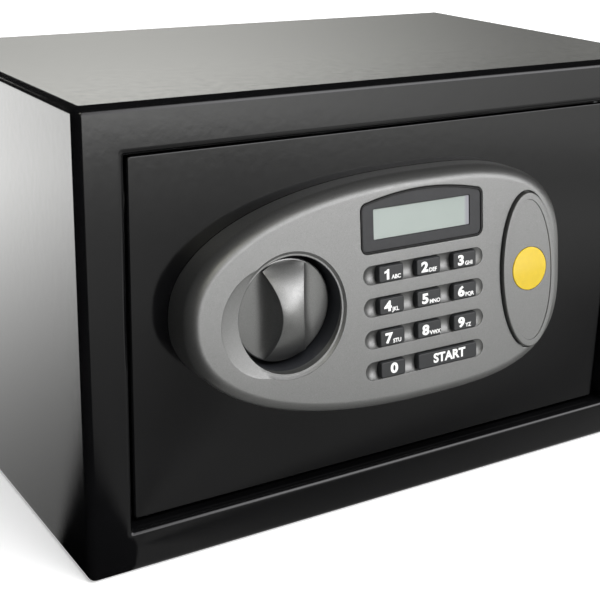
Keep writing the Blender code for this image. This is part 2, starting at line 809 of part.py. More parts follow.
def grip():
    """The knob's waisted grip bar, arched along its length and trimmed round at its ends."""
    rings = []
    stations = 18
    lean = facing_out(KNOB_X, 0, KNOB_Z) @ Matrix.Rotation(GRIP_LEAN, 4, "Z")
    for i in range(stations + 1):
        v = KNOB_RADIUS * (2 * i / stations - 1)
        half = GRIP_WAIST + GRIP_FLARE * (v / KNOB_RADIUS) ** 2
        top = GRIP_HEIGHT * (1 - (v / GRIP_HALF_LENGTH) ** 2) - KNOB_FACE_DEPTH
        shoulder = 0.0009
        section = [
            (-half, -0.001),
            (half, -0.001),
            (half, top - 2 * shoulder),
            (half - shoulder * 0.6, top - shoulder * 0.6),
            (half * 0.5, top - shoulder * 0.1),
            (-half * 0.5, top - shoulder * 0.1),
            (-half + shoulder * 0.6, top - shoulder * 0.6),
            (-half, top - 2 * shoulder),
        ]
        rings.append([lean @ Vector((u, v, w)) for u, w in section])
    bar = loft("cut_grip", rings)
    trim = cylinder(
        "cut_grip_trim", facing_out(KNOB_X, 0, KNOB_Z), KNOB_RADIUS - 0.0004, -0.002, 0.030, sides=FINE
    )
    boolean = bar.modifiers.new("Trim", "BOOLEAN")
    boolean.operation = "INTERSECT"
    boolean.solver = "EXACT"
    boolean.object = trim
    return bar


def cam(axis, out):
    """A disc with two rim notches for the solenoid's plunger, and the pin that moves the carriage."""
    low, high = -(CAM_DEPTH + CAM_THICKNESS), -CAM_DEPTH
    disc = cylinder("lock_cam", out, CAM_RADIUS, low, high, ZINC, axis, 36)
    bore = cylinder("cut_cam_bore", out, SPINDLE_RADIUS + GAP / 3, low - 0.001, high + 0.001)
    half = PLUNGER_RADIUS + 0.0004
    rim, bottom = CAM_RADIUS + 0.001, CAM_RADIUS - NOTCH_SINK
    side = cuboid("cut_notch_side", (bottom, -half, low - 0.001), (rim, half, high + 0.001), frame=out)
    foot = cuboid("cut_notch_foot", (-half, -rim, low - 0.001), (half, -bottom, high + 0.001), frame=out)
    turn = Matrix.Rotation(math.radians(45), 4, "Z") @ Matrix.Translation((CAM_PIN_THROW, 0, 0))
    pin_top = -(CARRIAGE_DEPTH - 0.0015)
    pin = cylinder("cut_cam_pin", out @ turn, CAM_PIN_RADIUS, low + 0.001, pin_top, sides=16)
    carve(disc, bore, side, foot)
    fuse(disc, pin)


def bolt_work(door):
    """The carriage that the cam slides, with its two round bolts, and the guides fixed to the door."""
    slide = pivot("bolt_slide", spot(BOLT_TIP_X, BOLT_DEPTH, KNOB_Z), door)
    reach = BOLT_SPREAD + BOLT_RADIUS + 0.002
    back = CARRIAGE_DEPTH + CARRIAGE_SHEET
    plate = block(
        "bolt_carriage",
        (CARRIAGE_LEFT, CARRIAGE_RIGHT),
        (CARRIAGE_DEPTH, back),
        (KNOB_Z - reach, KNOB_Z + reach),
        ZINC,
        slide,
    )
    flange = block(
        "cut_carriage_flange",
        (CARRIAGE_LEFT, CARRIAGE_LEFT + CARRIAGE_SHEET),
        (CARRIAGE_DEPTH + 0.001, BOLT_DEPTH + BOLT_RADIUS + 0.001),
        (KNOB_Z - reach, KNOB_Z + reach),
    )
    fuse(plate, flange)
    out = facing_out(0, 0, 0)
    pin_x = KNOB_X + CAM_PIN_THROW * math.cos(math.radians(45))
    pin_low = KNOB_Z + CAM_PIN_THROW * math.sin(math.radians(45))
    pin_slot = rounded_rectangle(
        pin_x - 0.0031, pin_x + 0.0031, pin_low - 0.0031, KNOB_Z + CAM_PIN_THROW + 0.0031, 0.003, 4
    )
    shaft = SPINDLE_RADIUS + 0.0004
    shaft_slot = rounded_rectangle(
        KNOB_X - shaft, KNOB_X + BOLT_TRAVEL + shaft, KNOB_Z - shaft, KNOB_Z + shaft, shaft - 0.0001, 4
    )
    carve(
        plate,
        flat_solid("cut_pin_slot", [pin_slot], -back - 0.001, -CARRIAGE_DEPTH + 0.001, out),
        flat_solid("cut_shaft_slot", [shaft_slot], -back - 0.001, -CARRIAGE_DEPTH + 0.001, out),
    )
    for end, z in (("upper", KNOB_Z + BOLT_SPREAD), ("lower", KNOB_Z - BOLT_SPREAD)):
        left = facing_left(0, BOLT_DEPTH, z)
        tip, chamfer = -BOLT_TIP_X, 0.0015
        root = -CARRIAGE_LEFT + GAP
        profile = (
            (0, tip),
            (BOLT_RADIUS - chamfer, tip),
            (BOLT_RADIUS, tip - chamfer),
            (BOLT_RADIUS, root),
            (0, root),
        )
        turned("locking_bolt_" + end, profile, left, STEEL, slide)
        guide = block(
            "bolt_guide_" + end,
            (-0.1194, -0.1164),
            (DOOR_BACK + GAP, BOLT_DEPTH + 0.0095),
            (z - 0.0105, z + 0.0105),
            ZINC,
            door,
        )
        round_edges(guide, 0.0006, 1)
        carve(guide, cylinder("cut_guide_" + end, left, BOLT_RADIUS + 0.0001, 0.110, 0.125))


def solenoid(door):
    """Frame, coil, plunger and its spring, level with the knob's axis."""
    left = facing_left(0, COIL_DEPTH, KNOB_Z)
    out = COIL_RADIUS + 0.002
    frame = block(
        "solenoid_frame",
        (COIL_LEFT, COIL_RIGHT),
        (COIL_DEPTH - out + 0.001, COIL_DEPTH + out),
        (KNOB_Z - out, KNOB_Z + out),
        ZINC,
        door,
    )
    window = block(
        "cut_solenoid_window",
        (COIL_LEFT + COIL_FRAME, COIL_RIGHT - COIL_FRAME),
        (COIL_DEPTH - 0.020, COIL_DEPTH + COIL_RADIUS + 0.0004),
        (KNOB_Z - 0.020, KNOB_Z + 0.020),
    )
    carve(frame, window, cylinder("cut_solenoid_ends", left, PLUNGER_RADIUS + 0.0003, 0.005, 0.045))
    coil = cylinder(
        "solenoid_coil",
        left,
        COIL_RADIUS,
        -(COIL_RIGHT - COIL_FRAME - GAP),
        -(COIL_LEFT + COIL_FRAME + GAP),
        COPPER,
        door,
    )
    carve(coil, cylinder("cut_coil_bore", left, PLUNGER_RADIUS + 0.0003, 0.005, 0.045))
    slide = pivot("plunger_slide", spot(PLUNGER_TIP_X, COIL_DEPTH, KNOB_Z), door)
    tip, tail, collar = -PLUNGER_TIP_X, 0.005, 0.0452
    rise = 0.0012
    profile = (
        (0, tip),
        (PLUNGER_RADIUS - 0.0004, tip),
        (PLUNGER_RADIUS, tip - 0.0004),
        (PLUNGER_RADIUS, collar + 0.001),
        (PLUNGER_RADIUS + rise, collar + 0.001),
        (PLUNGER_RADIUS + rise, collar),
        (PLUNGER_RADIUS, collar),
        (PLUNGER_RADIUS, tail),
        (0, tail),
    )
    turned("solenoid_plunger", profile, left, STEEL, slide)
    coil_radius, wire = PLUNGER_RADIUS + 0.0008, 0.0003
    turns, steps = 4, 12
    start, end = -collar + 0.0006, COIL_LEFT - 0.0006
    points = []
    for i in range(turns * steps + 1):
        angle = 2 * math.pi * i / steps
        x = start + (end - start) * i / (turns * steps)
        across, up = coil_radius * math.cos(angle), coil_radius * math.sin(angle)
        points.append(spot(x, COIL_DEPTH + across, KNOB_Z + up))
    tube("plunger_spring", points, wire, STEEL, door)


# ---------------------------------------------------------------- override lock and its cover


def override_lock(door):
    """The key lock behind the oval cover: body, nut, turning plug and cam lever."""
    out = facing_out(LOCK_X, 0, LOCK_Z)
    front, rear = 0.0080, -0.026
    body = cylinder("override_lock_body", out, LOCK_RADIUS, rear, front, STEEL, door, 32)
    carve(body, cylinder("cut_plug_bore", out, PLUG_RADIUS + 0.0001, rear - 0.001, front + 0.001, sides=32))
    nut_low, nut_high = -(DOOR_BACK + GAP + 0.004), -(DOOR_BACK + GAP)
    nut = cylinder("override_lock_nut", out, 0.0125, nut_low, nut_high, ZINC, door, 6)
    bore = cylinder("cut_nut_bore", out, LOCK_RADIUS + 0.0001, nut_low - 0.001, nut_high + 0.001, sides=32)
    carve(nut, bore)
    axis = pivot("override_lock_axis", spot(LOCK_X, 0, LOCK_Z), door)
    lever_back = rear - 0.0035
    plug = cylinder("override_lock_plug", out, PLUG_RADIUS, lever_back, front - 0.0003, BRASS, axis, 32)
    key_low, key_high = (-0.0008, -0.0034, front - 0.006), (0.0008, 0.0034, front + 0.002)
    carve(plug, cuboid("cut_keyway", key_low, key_high, frame=out))
    lever = rounded_rectangle(-0.0065, 0.0065, -0.018, 0.0065, 0.004, 4)
    bore = arc((0, 0), PLUG_RADIUS + 0.0001, 0, 360 - 360 / 32, 32)
    flat_solid("override_cam", [lever, bore], rear - 0.0030, rear - 0.0005, out, ZINC, axis)


def override_cover(door):
    """The oval cover that pulls off its lock: a shallow dish in its face, and a round badge in the dish."""
    face = panel_frame()
    slide = pivot("override_cover_slide", face @ Vector((COVER_U, COVER_V, COVER_PROUD)), door)
    oval = ellipse((COVER_U, COVER_V), COVER_HALF_WIDTH, COVER_HALF_HEIGHT, COVER_LEAN)
    cover = flat_solid("override_cover", [oval], -COVER_SINK + GAP, COVER_PROUD, face, SILVER_PAINT, slide)
    round_edges(cover, 0.0007, 2, 60)
    dish = ellipse((COVER_U, COVER_V), DISH_HALF_WIDTH, DISH_HALF_HEIGHT, COVER_LEAN)
    carve(cover, flat_solid("cut_cover_dish", [dish], COVER_PROUD - DISH_SINK, COVER_PROUD + 0.001, face))
    badge_frame = face @ Matrix.Translation((BADGE_U, BADGE_V, COVER_PROUD - DISH_SINK))
    sink, dome = 0.0008, 0.0006
    carve(cover, cylinder("cut_badge_seat", badge_frame, BADGE_RADIUS + GAP, -sink, 0.002, sides=FINE))
    profile = [(0, dome)]
    for step in range(1, 5):
        reach = BADGE_RADIUS * step / 4
        profile.append((reach, dome * (1 - (step / 4) ** 3)))
    profile += [(BADGE_RADIUS, -sink + GAP), (0, -sink + GAP)]
    turned("override_badge", profile, badge_frame, YELLOW, slide, 36)


# ---------------------------------------------------------------- inside of the door


def screw_places():
    low = (COVER_FLANGE_Z[0] + COVER_BOX_Z[0]) / 2
    high = (COVER_FLANGE_Z[1] + COVER_BOX_Z[1]) / 2
    return [(x, z) for z in (low, high) for x in (-0.100, 0.085)]


def battery_opening(inset):
    """The x range and the z range of the opening over the battery tray, drawn in by inset."""
    inset += 0.003
    return (TRAY_X[0] + inset, TRAY_X[1] - inset), (TRAY_Z[0] + inset, TRAY_Z[1] - inset)


def inner_cover(door):
    """The pressed cover over the works, held by four screws through its flanges."""
    flange_depth = DOOR_BACK + GAP
    depth = (flange_depth, COVER_BOX_DEPTH)
    cover = block("inner_cover", COVER_BOX_X, depth, COVER_BOX_Z, GREY_PLASTIC, door)
    round_edges(cover, 0.002, 3)
    depth = (flange_depth, flange_depth + COVER_SHEET)
    flange = block("cut_cover_flange", COVER_BOX_X, depth, COVER_FLANGE_Z)
    hollow = block(
        "cut_cover_hollow",
        (COVER_BOX_X[0] + COVER_SHEET, COVER_BOX_X[1] - COVER_SHEET),
        (flange_depth - 0.001, COVER_BOX_DEPTH - COVER_SHEET),
        (COVER_BOX_Z[0] + COVER_SHEET, COVER_BOX_Z[1] - COVER_SHEET),
    )
    fuse(cover, flange)
    carve(cover, hollow)
    for end, z in (("upper", KNOB_Z + BOLT_SPREAD), ("lower", KNOB_Z - BOLT_SPREAD)):
        left = facing_left(0, BOLT_DEPTH, z)
        carve(cover, cylinder("cut_cover_bolt_" + end, left, BOLT_RADIUS + 0.0006, 0.118, 0.126))
    x, z = battery_opening(0)
    carve(cover, block("cut_battery_opening", x, (COVER_BOX_DEPTH - 0.004, COVER_BOX_DEPTH + 0.002), z))
    reset = facing_out(RESET_X, COVER_BOX_DEPTH, RESET_Z)
    carve(cover, cylinder("cut_reset_hole", reset, RESET_RADIUS + 0.0004, -0.002, 0.004))
    for number, (x, z) in enumerate(screw_places(), 1):
        hole = facing_out(x, flange_depth, z)
        carve(cover, cylinder("cut_cover_screw_%d" % number, hole, SCREW_HOLE, -0.003, 0.002, sides=12))
        inner_cover_screw(number, x, z, flange_depth + COVER_SHEET, door)


def inner_cover_screw(number, x, z, seat, door):
    """A pan-head screw with a cross recess, its head towards the inside of the safe."""
    inwards = Matrix.Translation(spot(x, seat, z)) @ Matrix.Rotation(math.radians(-90), 4, "X")
    head, tip = 0.0030, -0.0042
    profile = (
        (0, 0.0020),
        (head * 0.6, 0.0018),
        (head, 0.0010),
        (head, GAP),
        (SCREW_SHANK, GAP),
        (SCREW_SHANK, tip),
        (0, tip),
    )
    screw = turned("inner_cover_screw_%d" % number, profile, inwards, ZINC, door, 16)
    for name, wide, tall in (("a", 0.0018, 0.0004), ("b", 0.0004, 0.0018)):
        low, high = (-wide, -tall, 0.0010), (wide, tall, 0.003)
        carve(screw, cuboid("cut_screw_%d%s" % (number, name), low, high, frame=inwards))


def batteries(door):
    """The battery tray, its four cells and its door, and the lead to the circuit board."""
    tray = block("battery_tray", TRAY_X, TRAY_DEPTH, TRAY_Z, DARK_PLASTIC, door)
    hollow = block(
        "cut_tray_hollow",
        (TRAY_X[0] + TRAY_WALL, TRAY_X[1] - TRAY_WALL),
        (TRAY_DEPTH[0] + TRAY_WALL, TRAY_DEPTH[1] + 0.002),
        (TRAY_Z[0] + TRAY_WALL, TRAY_Z[1] - TRAY_WALL),
    )
    carve(tray, hollow)
    middle_x, middle_z = sum(TRAY_X) / 2, sum(TRAY_Z) / 2
    number = 0
    for row, z in enumerate((middle_z - 0.0078, middle_z + 0.0078)):
        for x in (middle_x - 0.0268, middle_x + 0.0268):
            number += 1
            turn = 90 if row == 0 else -90
            place = Matrix.Translation(spot(x, TRAY_DEPTH[0] + TRAY_WALL + CELL_RADIUS + GAP, z))
            cell(number, place @ Matrix.Rotation(math.radians(turn), 4, "Y"), door)
    x, z = battery_opening(0.0004)
    slide = pivot("battery_door_slide", spot(middle_x, COVER_BOX_DEPTH, middle_z), door)
    depth = (COVER_BOX_DEPTH - COVER_SHEET, COVER_BOX_DEPTH + 0.0006)
    lid = block("battery_door", x, depth, z, GREY_PLASTIC, slide)
    round_edges(lid, 0.0005, 2)
    grip_low = middle_z - 0.006
    for i in range(4):
        low = grip_low + i * 0.0035
        ridge_x = (middle_x - 0.012, middle_x + 0.012)
        ridge_depth = (depth[1] - 0.0006, depth[1] + 0.001)
        carve(lid, block("cut_lid_ridge_%d" % (i + 1), ridge_x, ridge_depth, (low, low + 0.0015)))
    lead = []
    for i in range(4):
        lead.append(spot(LEAD_X, -0.0040 + 0.0052 * i, LEAD_Z))
    for depth, height in arc((0.0116 + 0.0074, LEAD_Z - 0.0074), 0.0074, 78, 0, 5):
        lead.append(spot(LEAD_X, depth, height))
    lead.append(spot(LEAD_X, lead[-1].y - FRONT, TRAY_Z[1] + GAP + 0.002))
    lead.append(spot(LEAD_X, lead[-1].y - FRONT, TRAY_Z[1] + GAP))
    tube("battery_lead", lead, LEAD_RADIUS, DARK_PLASTIC, door)


def cell(number, frame, door):
    half, nub, shoulder = CELL_LENGTH / 2, 0.0027, 0.0010
    profile = (
        (0, half),
        (nub, half),
        (nub, half - shoulder),
        (CELL_RADIUS - 0.0006, half - shoulder),
        (CELL_RADIUS, half - shoulder - 0.0006),
        (CELL_RADIUS, -half + 0.0006),
        (CELL_RADIUS - 0.0006, -half),
        (0, -half),
    )
    turned("battery_%d" % number, profile, frame, CELL_JACKET, door, 20)


def reset_parts(door):
    """The button that sets a new code, and the switch behind it."""
    block(
        "reset_switch",
        (RESET_X - 0.005, RESET_X + 0.005),
        (0.018, 0.0272),
        (RESET_Z - 0.005, RESET_Z + 0.005),
        DARK_PLASTIC,
        door,
    )
    place = spot(RESET_X, COVER_BOX_DEPTH, RESET_Z)
    inwards = Matrix.Translation(place) @ Matrix.Rotation(math.radians(-90), 4, "X")
    slide = pivot("reset_slide", place, door)
    foot = -0.0110
    profile = (
        (0, 0.0016),
        (RESET_RADIUS - 0.0008, 0.0015),
        (RESET_RADIUS, 0.0008),
        (RESET_RADIUS, foot),
        (0, foot),
    )
    turned("reset_button", profile, inwards, RED_RUBBER, slide, 20)


clear_scene()
SAFE = new_collection("in_room_safe")
CUTTERS = new_collection("cutters")
CUTTERS.hide_render = True

body_shell()
back_panel()
floor_mat()
hinge_brackets()

DOOR = pivot("door_axis", spot(HINGE_X, HINGE_DEPTH, BODY_HEIGHT / 2))
door_panel(DOOR)
hinge_parts(DOOR)
keypad_bezel(DOOR)
display(DOOR)
keypad_parts(DOOR)
keys(DOOR)
knob_parts(DOOR)
bolt_work(DOOR)
solenoid(DOOR)
override_lock(DOOR)
override_cover(DOOR)
inner_cover(DOOR)
batteries(DOOR)
reset_parts(DOOR)
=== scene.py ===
"""Looks of an electronic in-room safe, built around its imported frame.

Metres, +Z up, the door faces -Y. Depths run into the safe from the front face of the door frame, so what
stands proud is negative. U, V and W are the keypad panel's own axes: right, up its tilted face and out of it.
"""

import math

import bmesh
import bpy
from mathutils import Matrix, Vector
from mathutils.geometry import delaunay_2d_cdt


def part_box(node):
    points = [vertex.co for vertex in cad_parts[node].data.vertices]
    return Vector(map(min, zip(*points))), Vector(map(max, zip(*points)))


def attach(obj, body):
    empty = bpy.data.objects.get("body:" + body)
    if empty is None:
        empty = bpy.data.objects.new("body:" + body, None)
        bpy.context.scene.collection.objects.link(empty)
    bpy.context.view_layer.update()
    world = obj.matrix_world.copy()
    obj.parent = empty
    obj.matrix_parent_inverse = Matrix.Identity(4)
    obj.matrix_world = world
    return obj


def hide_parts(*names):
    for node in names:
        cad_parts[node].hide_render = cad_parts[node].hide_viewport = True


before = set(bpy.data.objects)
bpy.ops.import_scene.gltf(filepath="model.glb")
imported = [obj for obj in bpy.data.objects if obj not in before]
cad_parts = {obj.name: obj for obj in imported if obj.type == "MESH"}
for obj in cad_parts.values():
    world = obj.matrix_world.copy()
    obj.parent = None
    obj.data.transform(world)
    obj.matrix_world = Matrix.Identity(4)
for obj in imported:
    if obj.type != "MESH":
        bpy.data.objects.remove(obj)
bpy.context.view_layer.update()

BODY_LOW, BODY_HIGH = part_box("body_shell")
DOOR_LOW, DOOR_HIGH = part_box("door_panel")
KNOB_LOW, KNOB_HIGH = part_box("knob")
FRONT = BODY_LOW.y
WIDTH = BODY_HIGH.x - BODY_LOW.x
HEIGHT = BODY_HIGH.z - BODY_LOW.z
DEPTH = BODY_HIGH.y - BODY_LOW.y
DOOR_FACE = DOOR_LOW.y - FRONT
DOOR_BACK = DOOR_HIGH.y - FRONT
GAP = 0.0003
WELD = 0.0000015

# Steel box
SHEET = 0.002
BEND_RADIUS = 0.0035
FRAME_WIDTH = 0.020
LIP_DEPTH = 0.019
LIP_RADIUS = 0.0030
ANCHOR_RADIUS = 0.005
ANCHOR_X = 0.075
BASE_ANCHOR_DEPTH = 0.120
HINGE_X = 0.119
HINGE_DEPTH = 0.0135
HINGE_HOLE = 0.0027
BEND_STEPS = 8
CORNER_STEPS = 9
OPENING_CORNER = 0.0008
INNER_CORNER = 0.0012
DOOR_SPARE = 0.0006
DOOR_EDGE = 0.0010
DOOR_CORNER = 0.0018
SPINDLE_HOLE = 0.004
LEAD_X = 0.020
LEAD_Z = 0.090
LEAD_HOLE = 0.0034

# Keypad panel
TILT = math.radians(6.8)
PANEL_PROUD = 0.0125
PANEL_X = 0.0035
PANEL_Z = 0.1089
PANEL_HALF_HEIGHT = 0.0512
PANEL_LEFT = 0.1188
PANEL_LEFT_POWER = 2.25
PANEL_RIGHT = 0.0800
PANEL_RIGHT_POWER = 3.1
PANEL_FILLET = 0.0055
PANEL_WALL = 0.0022
PANEL_CEILING = -0.0057
PANEL_SIDES = 288

# Knob and its well
KNOB_X = (KNOB_LOW.x + KNOB_HIGH.x) / 2
KNOB_Z = (KNOB_LOW.z + KNOB_HIGH.z) / 2
KNOB_RADIUS = (KNOB_HIGH.x - KNOB_LOW.x) / 2
KNOB_FACE = -0.0047
KNOB_BACK = 0.0030
KNOB_RIM = 0.0009
WELL_RADIUS = 0.0248
WELL_RIM = 0.0022
WELL_WALL = 0.0024
GRIP_WAIST = 0.0053
GRIP_FLARE = 0.0069
GRIP_HEIGHT = 0.0094
GRIP_HALF_LENGTH = 0.0220
GRIP_LEAN = math.radians(2.8)
GRIP_EDGE = 0.00045
GRIP_CROWN = 0.0006
GRIP_FLANK = 0.0090
GRIP_FADE = 0.0025
GRIP_LEAST = 0.0004
KNOB_SIDES = 192
WELL_SIDES = 160
WELL_LEDGE = 0.0008
WELL_SLOPE = 0.0010
WELL_FILLET = 0.0003
SCOOP_U = -0.0770
SCOOP_V = -0.0019
SCOOP_RADIUS = 0.0238
SCOOP_SINK = 0.0022
SCOOP_STEP = 0.00012
SCOOP_LIP = 0.0006

# Keys, their slots and the display
SLOT_LEFT = -0.0311
SLOT_RIGHT = 0.0343
SLOT_HEIGHT = 0.0082
SLOT_SINK = 0.0015
SLOT_EDGE = 0.00025
KEY_PITCH_U = 0.0202
KEY_PITCH_V = 0.0143
KEY_MID_U = 0.0027
KEY_TOP_ROW_V = 0.0100
KEY_WIDTH = 0.0133
KEY_HEIGHT = 0.0074
KEY_PROUD = 0.0015
KEY_FOOT = -0.0045
KEY_CLEARANCE = 0.00018
KEY_CORNER = 0.0012
KEY_EDGE = 0.0007
DIGIT_SIZE = 0.0061
DIGIT_WEIGHT = 0.00026
WINDOW_LEFT = -0.0317
WINDOW_RIGHT = 0.0345
WINDOW_LOW = 0.0194
WINDOW_SHOULDER = 0.0407
WINDOW_RISE = 0.0043
WINDOW_CORNER = 0.0034
WINDOW_EDGE = 0.0005
GLASS_LEFT = -0.0248
GLASS_RIGHT = 0.0274
GLASS_LOW = 0.0251
GLASS_HIGH = 0.0384

# Oval cover, its badge and the lock under it
COVER_U = 0.0614
COVER_V = -0.0010
COVER_HALF_WIDTH = 0.0160
COVER_HALF_HEIGHT = 0.0368
COVER_LEAN = math.radians(1.6)
COVER_PROUD = 0.0017
COVER_GROOVE = 0.0006
COVER_SINK = 0.0025
COVER_EDGE = 0.0007
COVER_FLARE = 0.0004
COVER_SIDES = 128
DISH_HALF_WIDTH = 0.0132
DISH_HALF_HEIGHT = 0.0334
DISH_SINK = 0.00035
BADGE_U = 0.0613
BADGE_V = 0.0000
BADGE_RADIUS = 0.0101
BADGE_SIDES = 96
BADGE_SEAT = 0.0008
BADGE_DOME = 0.0006
BADGE_EDGE = 0.0003
LOCK_X = 0.0602
LOCK_Z = 0.1085
LOCK_RADIUS = 0.008

# Lacquer
LACQUER_METAL = 0.90
FLAKE_DARK = (0.205, 0.207, 0.202)
FLAKE_LIGHT = (0.275, 0.277, 0.272)

# Studio and camera
FLOOR_SIZE = 12.0
FLOOR_GLOW = 0.45
TOP_SHADE = 0.10
SUN_STRENGTH = 4.7
SUN_BREADTH = math.radians(60)
SUN_SIDE = (0.25, -0.45, 0.86)
BACK_CARD = (-0.62, 2.4, (1.6, 0), (1.6, 0.62))
FRONT_CARD = (-0.02, 2.2, (-1.5, 0), (-1.5, 1.3))
WARM_CARD = (-0.50, 0.05, (-1.30, 0.75), (-1.20, 1.05))
WARM_GLOW = 3.0
GROUND_MIDDLE = (-0.125, -0.100)
WORLD_GREY = 0.02
CAMERA_PLACE = (-0.3210, -0.4158, 0.2878)
CAMERA_YAW = 31.79
CAMERA_PITCH = 19.32
CAMERA_ROLL = 1.18
CAMERA_LENS = 73.92
CAMERA_SHIFT = (0.025, -0.0217)

PANEL_MIDDLE = Matrix.Translation((0, FRONT - PANEL_PROUD, PANEL_Z))
FACE = PANEL_MIDDLE @ Matrix.Rotation(math.radians(90) - TILT, 4, "X")


# ---------------------------------------------------------------- small tools


def spot(x, depth, z):
    return Vector((x, FRONT + depth, z))


def on_face(u, v, w=0.0):
    return FACE @ Vector((u, v, w))


def upright(outline, depth):
    """An (x, z) outline at one depth."""
    return [spot(x, depth, z) for x, z in outline]


def level(outline, w):
    """A (u, v) outline at one height over the panel's face."""
    return [on_face(u, v, w) for u, v in outline]


def facing_out(x, depth, z):
    """A frame whose Z points out of the door (-Y), with X to the right and Y up."""
    return Matrix.Translation(spot(x, depth, z)) @ Matrix.Rotation(math.radians(90), 4, "X")


def arc(middle, radius, start, end, count):
    angles = [math.radians(start + (end - start) * i / (count - 1)) for i in range(count)]
    return [(middle[0] + radius * math.cos(a), middle[1] + radius * math.sin(a)) for a in angles]


def circle(radius, count, middle=(0, 0)):
    angles = [2 * math.pi * i / count for i in range(count)]
    return [(middle[0] + radius * math.cos(a), middle[1] + radius * math.sin(a)) for a in angles]


def turned(frame, radius, height, count):
    """A ring round a frame's Z, as points."""
    return [frame @ Vector((x, y, height)) for x, y in circle(radius, count)]


def rounded_rectangle(left, right, low, high, radius, count=6):
    corners = (
        ((right - radius, low + radius), -90),
        ((right - radius, high - radius), 0),
        ((left + radius, high - radius), 90),
        ((left + radius, low + radius), 180),
    )
    return [point for middle, start in corners for point in arc(middle, radius, start, start + 90, count)]


def quarter(count):
    """(1 - sine, 1 - cosine) pairs of a quarter turn, from a flat face down to a wall."""
    angles = [math.pi / 2 * i / count for i in range(count + 1)]
    return [(1 - math.sin(a), 1 - math.cos(a)) for a in angles]


def round_over(outline_at, edge, top, count):
    """Rings over a rounded edge, from the flat at w = top down to the wall; outline_at(grow) draws each."""
    return [level(outline_at(edge * turn_in), top - edge * drop) for turn_in, drop in quarter(count)]


def inside(point, outline):
    """Whether a point lies inside a closed outline."""
    x, y = point
    within = False
    for (x1, y1), (x2, y2) in zip(outline, outline[1:] + outline[:1]):
        if (y1 > y) != (y2 > y) and x < x1 + (y - y1) * (x2 - x1) / (y2 - y1):
            within = not within
    return within


class Surface:
    """Collects rings and filled regions of one closed surface, then welds them."""

    def __init__(self):
        self.mesh = bmesh.new()

    def ring(self, points):
        return [self.mesh.verts.new(point) for point in points]

    def join(self, rings):
        """Quads between each ring and the next."""
        rows = [self.ring(points) for points in rings]
        count = len(rows[0])
        for row, following in zip(rows, rows[1:]):
            for i in range(count):
                after = (i + 1) % count
                self.mesh.faces.new((row[i], row[after], following[after], following[i]))

    def cap(self, points):
        self.mesh.faces.new(self.ring(points))

    def fill(self, outline, holes, place, extra=()):
        """A flat or nearly flat region with holes; place turns (u, v) into a point."""
        points, edges = [], []
        for loop in (outline, *holes):
            start, count = len(points), len(loop)
            points += loop
            edges += [(start + i, start + (i + 1) % count) for i in range(count)]
        points += list(extra)
        flat = [Vector(point) for point in points]
        found, _, faces, *_ = delaunay_2d_cdt(flat, edges, [], 0, 1e-7)
        verts = [self.mesh.verts.new(place(point.x, point.y)) for point in found]
        for face in faces:
            middle = [sum(found[i][axis] for i in face) / len(face) for axis in (0, 1)]
            if inside(middle, outline) and not any(inside(middle, hole) for hole in holes):
                self.mesh.faces.new([verts[i] for i in face])

    def finish(self, name):
        bmesh.ops.remove_doubles(self.mesh, verts=self.mesh.verts, dist=WELD)
        loose = [vert for vert in self.mesh.verts if not vert.link_faces]
        bmesh.ops.delete(self.mesh, geom=loose, context="VERTS")
        bmesh.ops.recalc_face_normals(self.mesh, faces=self.mesh.faces)
        mesh = bpy.data.meshes.new(name)
        self.mesh.to_mesh(mesh)
        self.mesh.free()
        return mesh


def piece(name, mesh, material, body, slot, *replaced, angle=32):
    """A shown piece that rides on a body and stands for the CAD nodes that it replaces."""
    thing = bpy.data.objects.new(name, mesh)
    bpy.context.scene.collection.objects.link(thing)
    mesh.materials.clear()
    mesh.materials.append(material)
    mesh.shade_smooth()
    mesh.set_sharp_from_angle(angle=math.radians(angle))
    weigh = thing.modifiers.new("Even shading", "WEIGHTED_NORMAL")
    weigh.keep_sharp = True
    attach(thing, body)
    if replaced:
        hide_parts(*replaced)


def solid(mesh):
    thing = bpy.data.objects.new("helper", mesh)
    bpy.context.scene.collection.objects.link(thing)
    return thing


def loft(name, rings):
    surface = Surface()
    surface.join(rings)
    surface.cap(rings[0])
    surface.cap(rings[-1])
    return surface.finish(name)


def rod(frame, radius, low, high, sides=48):
    """A cylinder's mesh along a frame's Z."""
    return loft("rod", [turned(frame, radius, height, sides) for height in (low, high)])


def combine(mesh, operation, *others):
    """The mesh after exact Booleans with the other meshes, which are removed."""
    thing = solid(mesh)
    helpers = [solid(other) for other in others]
    for helper in helpers:
        boolean = thing.modifiers.new("Combine", "BOOLEAN")
        boolean.operation = operation
        boolean.solver = "EXACT"
        boolean.object = helper
    graph = bpy.context.evaluated_depsgraph_get()
    made = bpy.data.meshes.new_from_object(thing.evaluated_get(graph))
    for helper in (thing, *helpers):
        bpy.data.objects.remove(helper, do_unlink=True)
    return made


# ---------------------------------------------------------------- materials


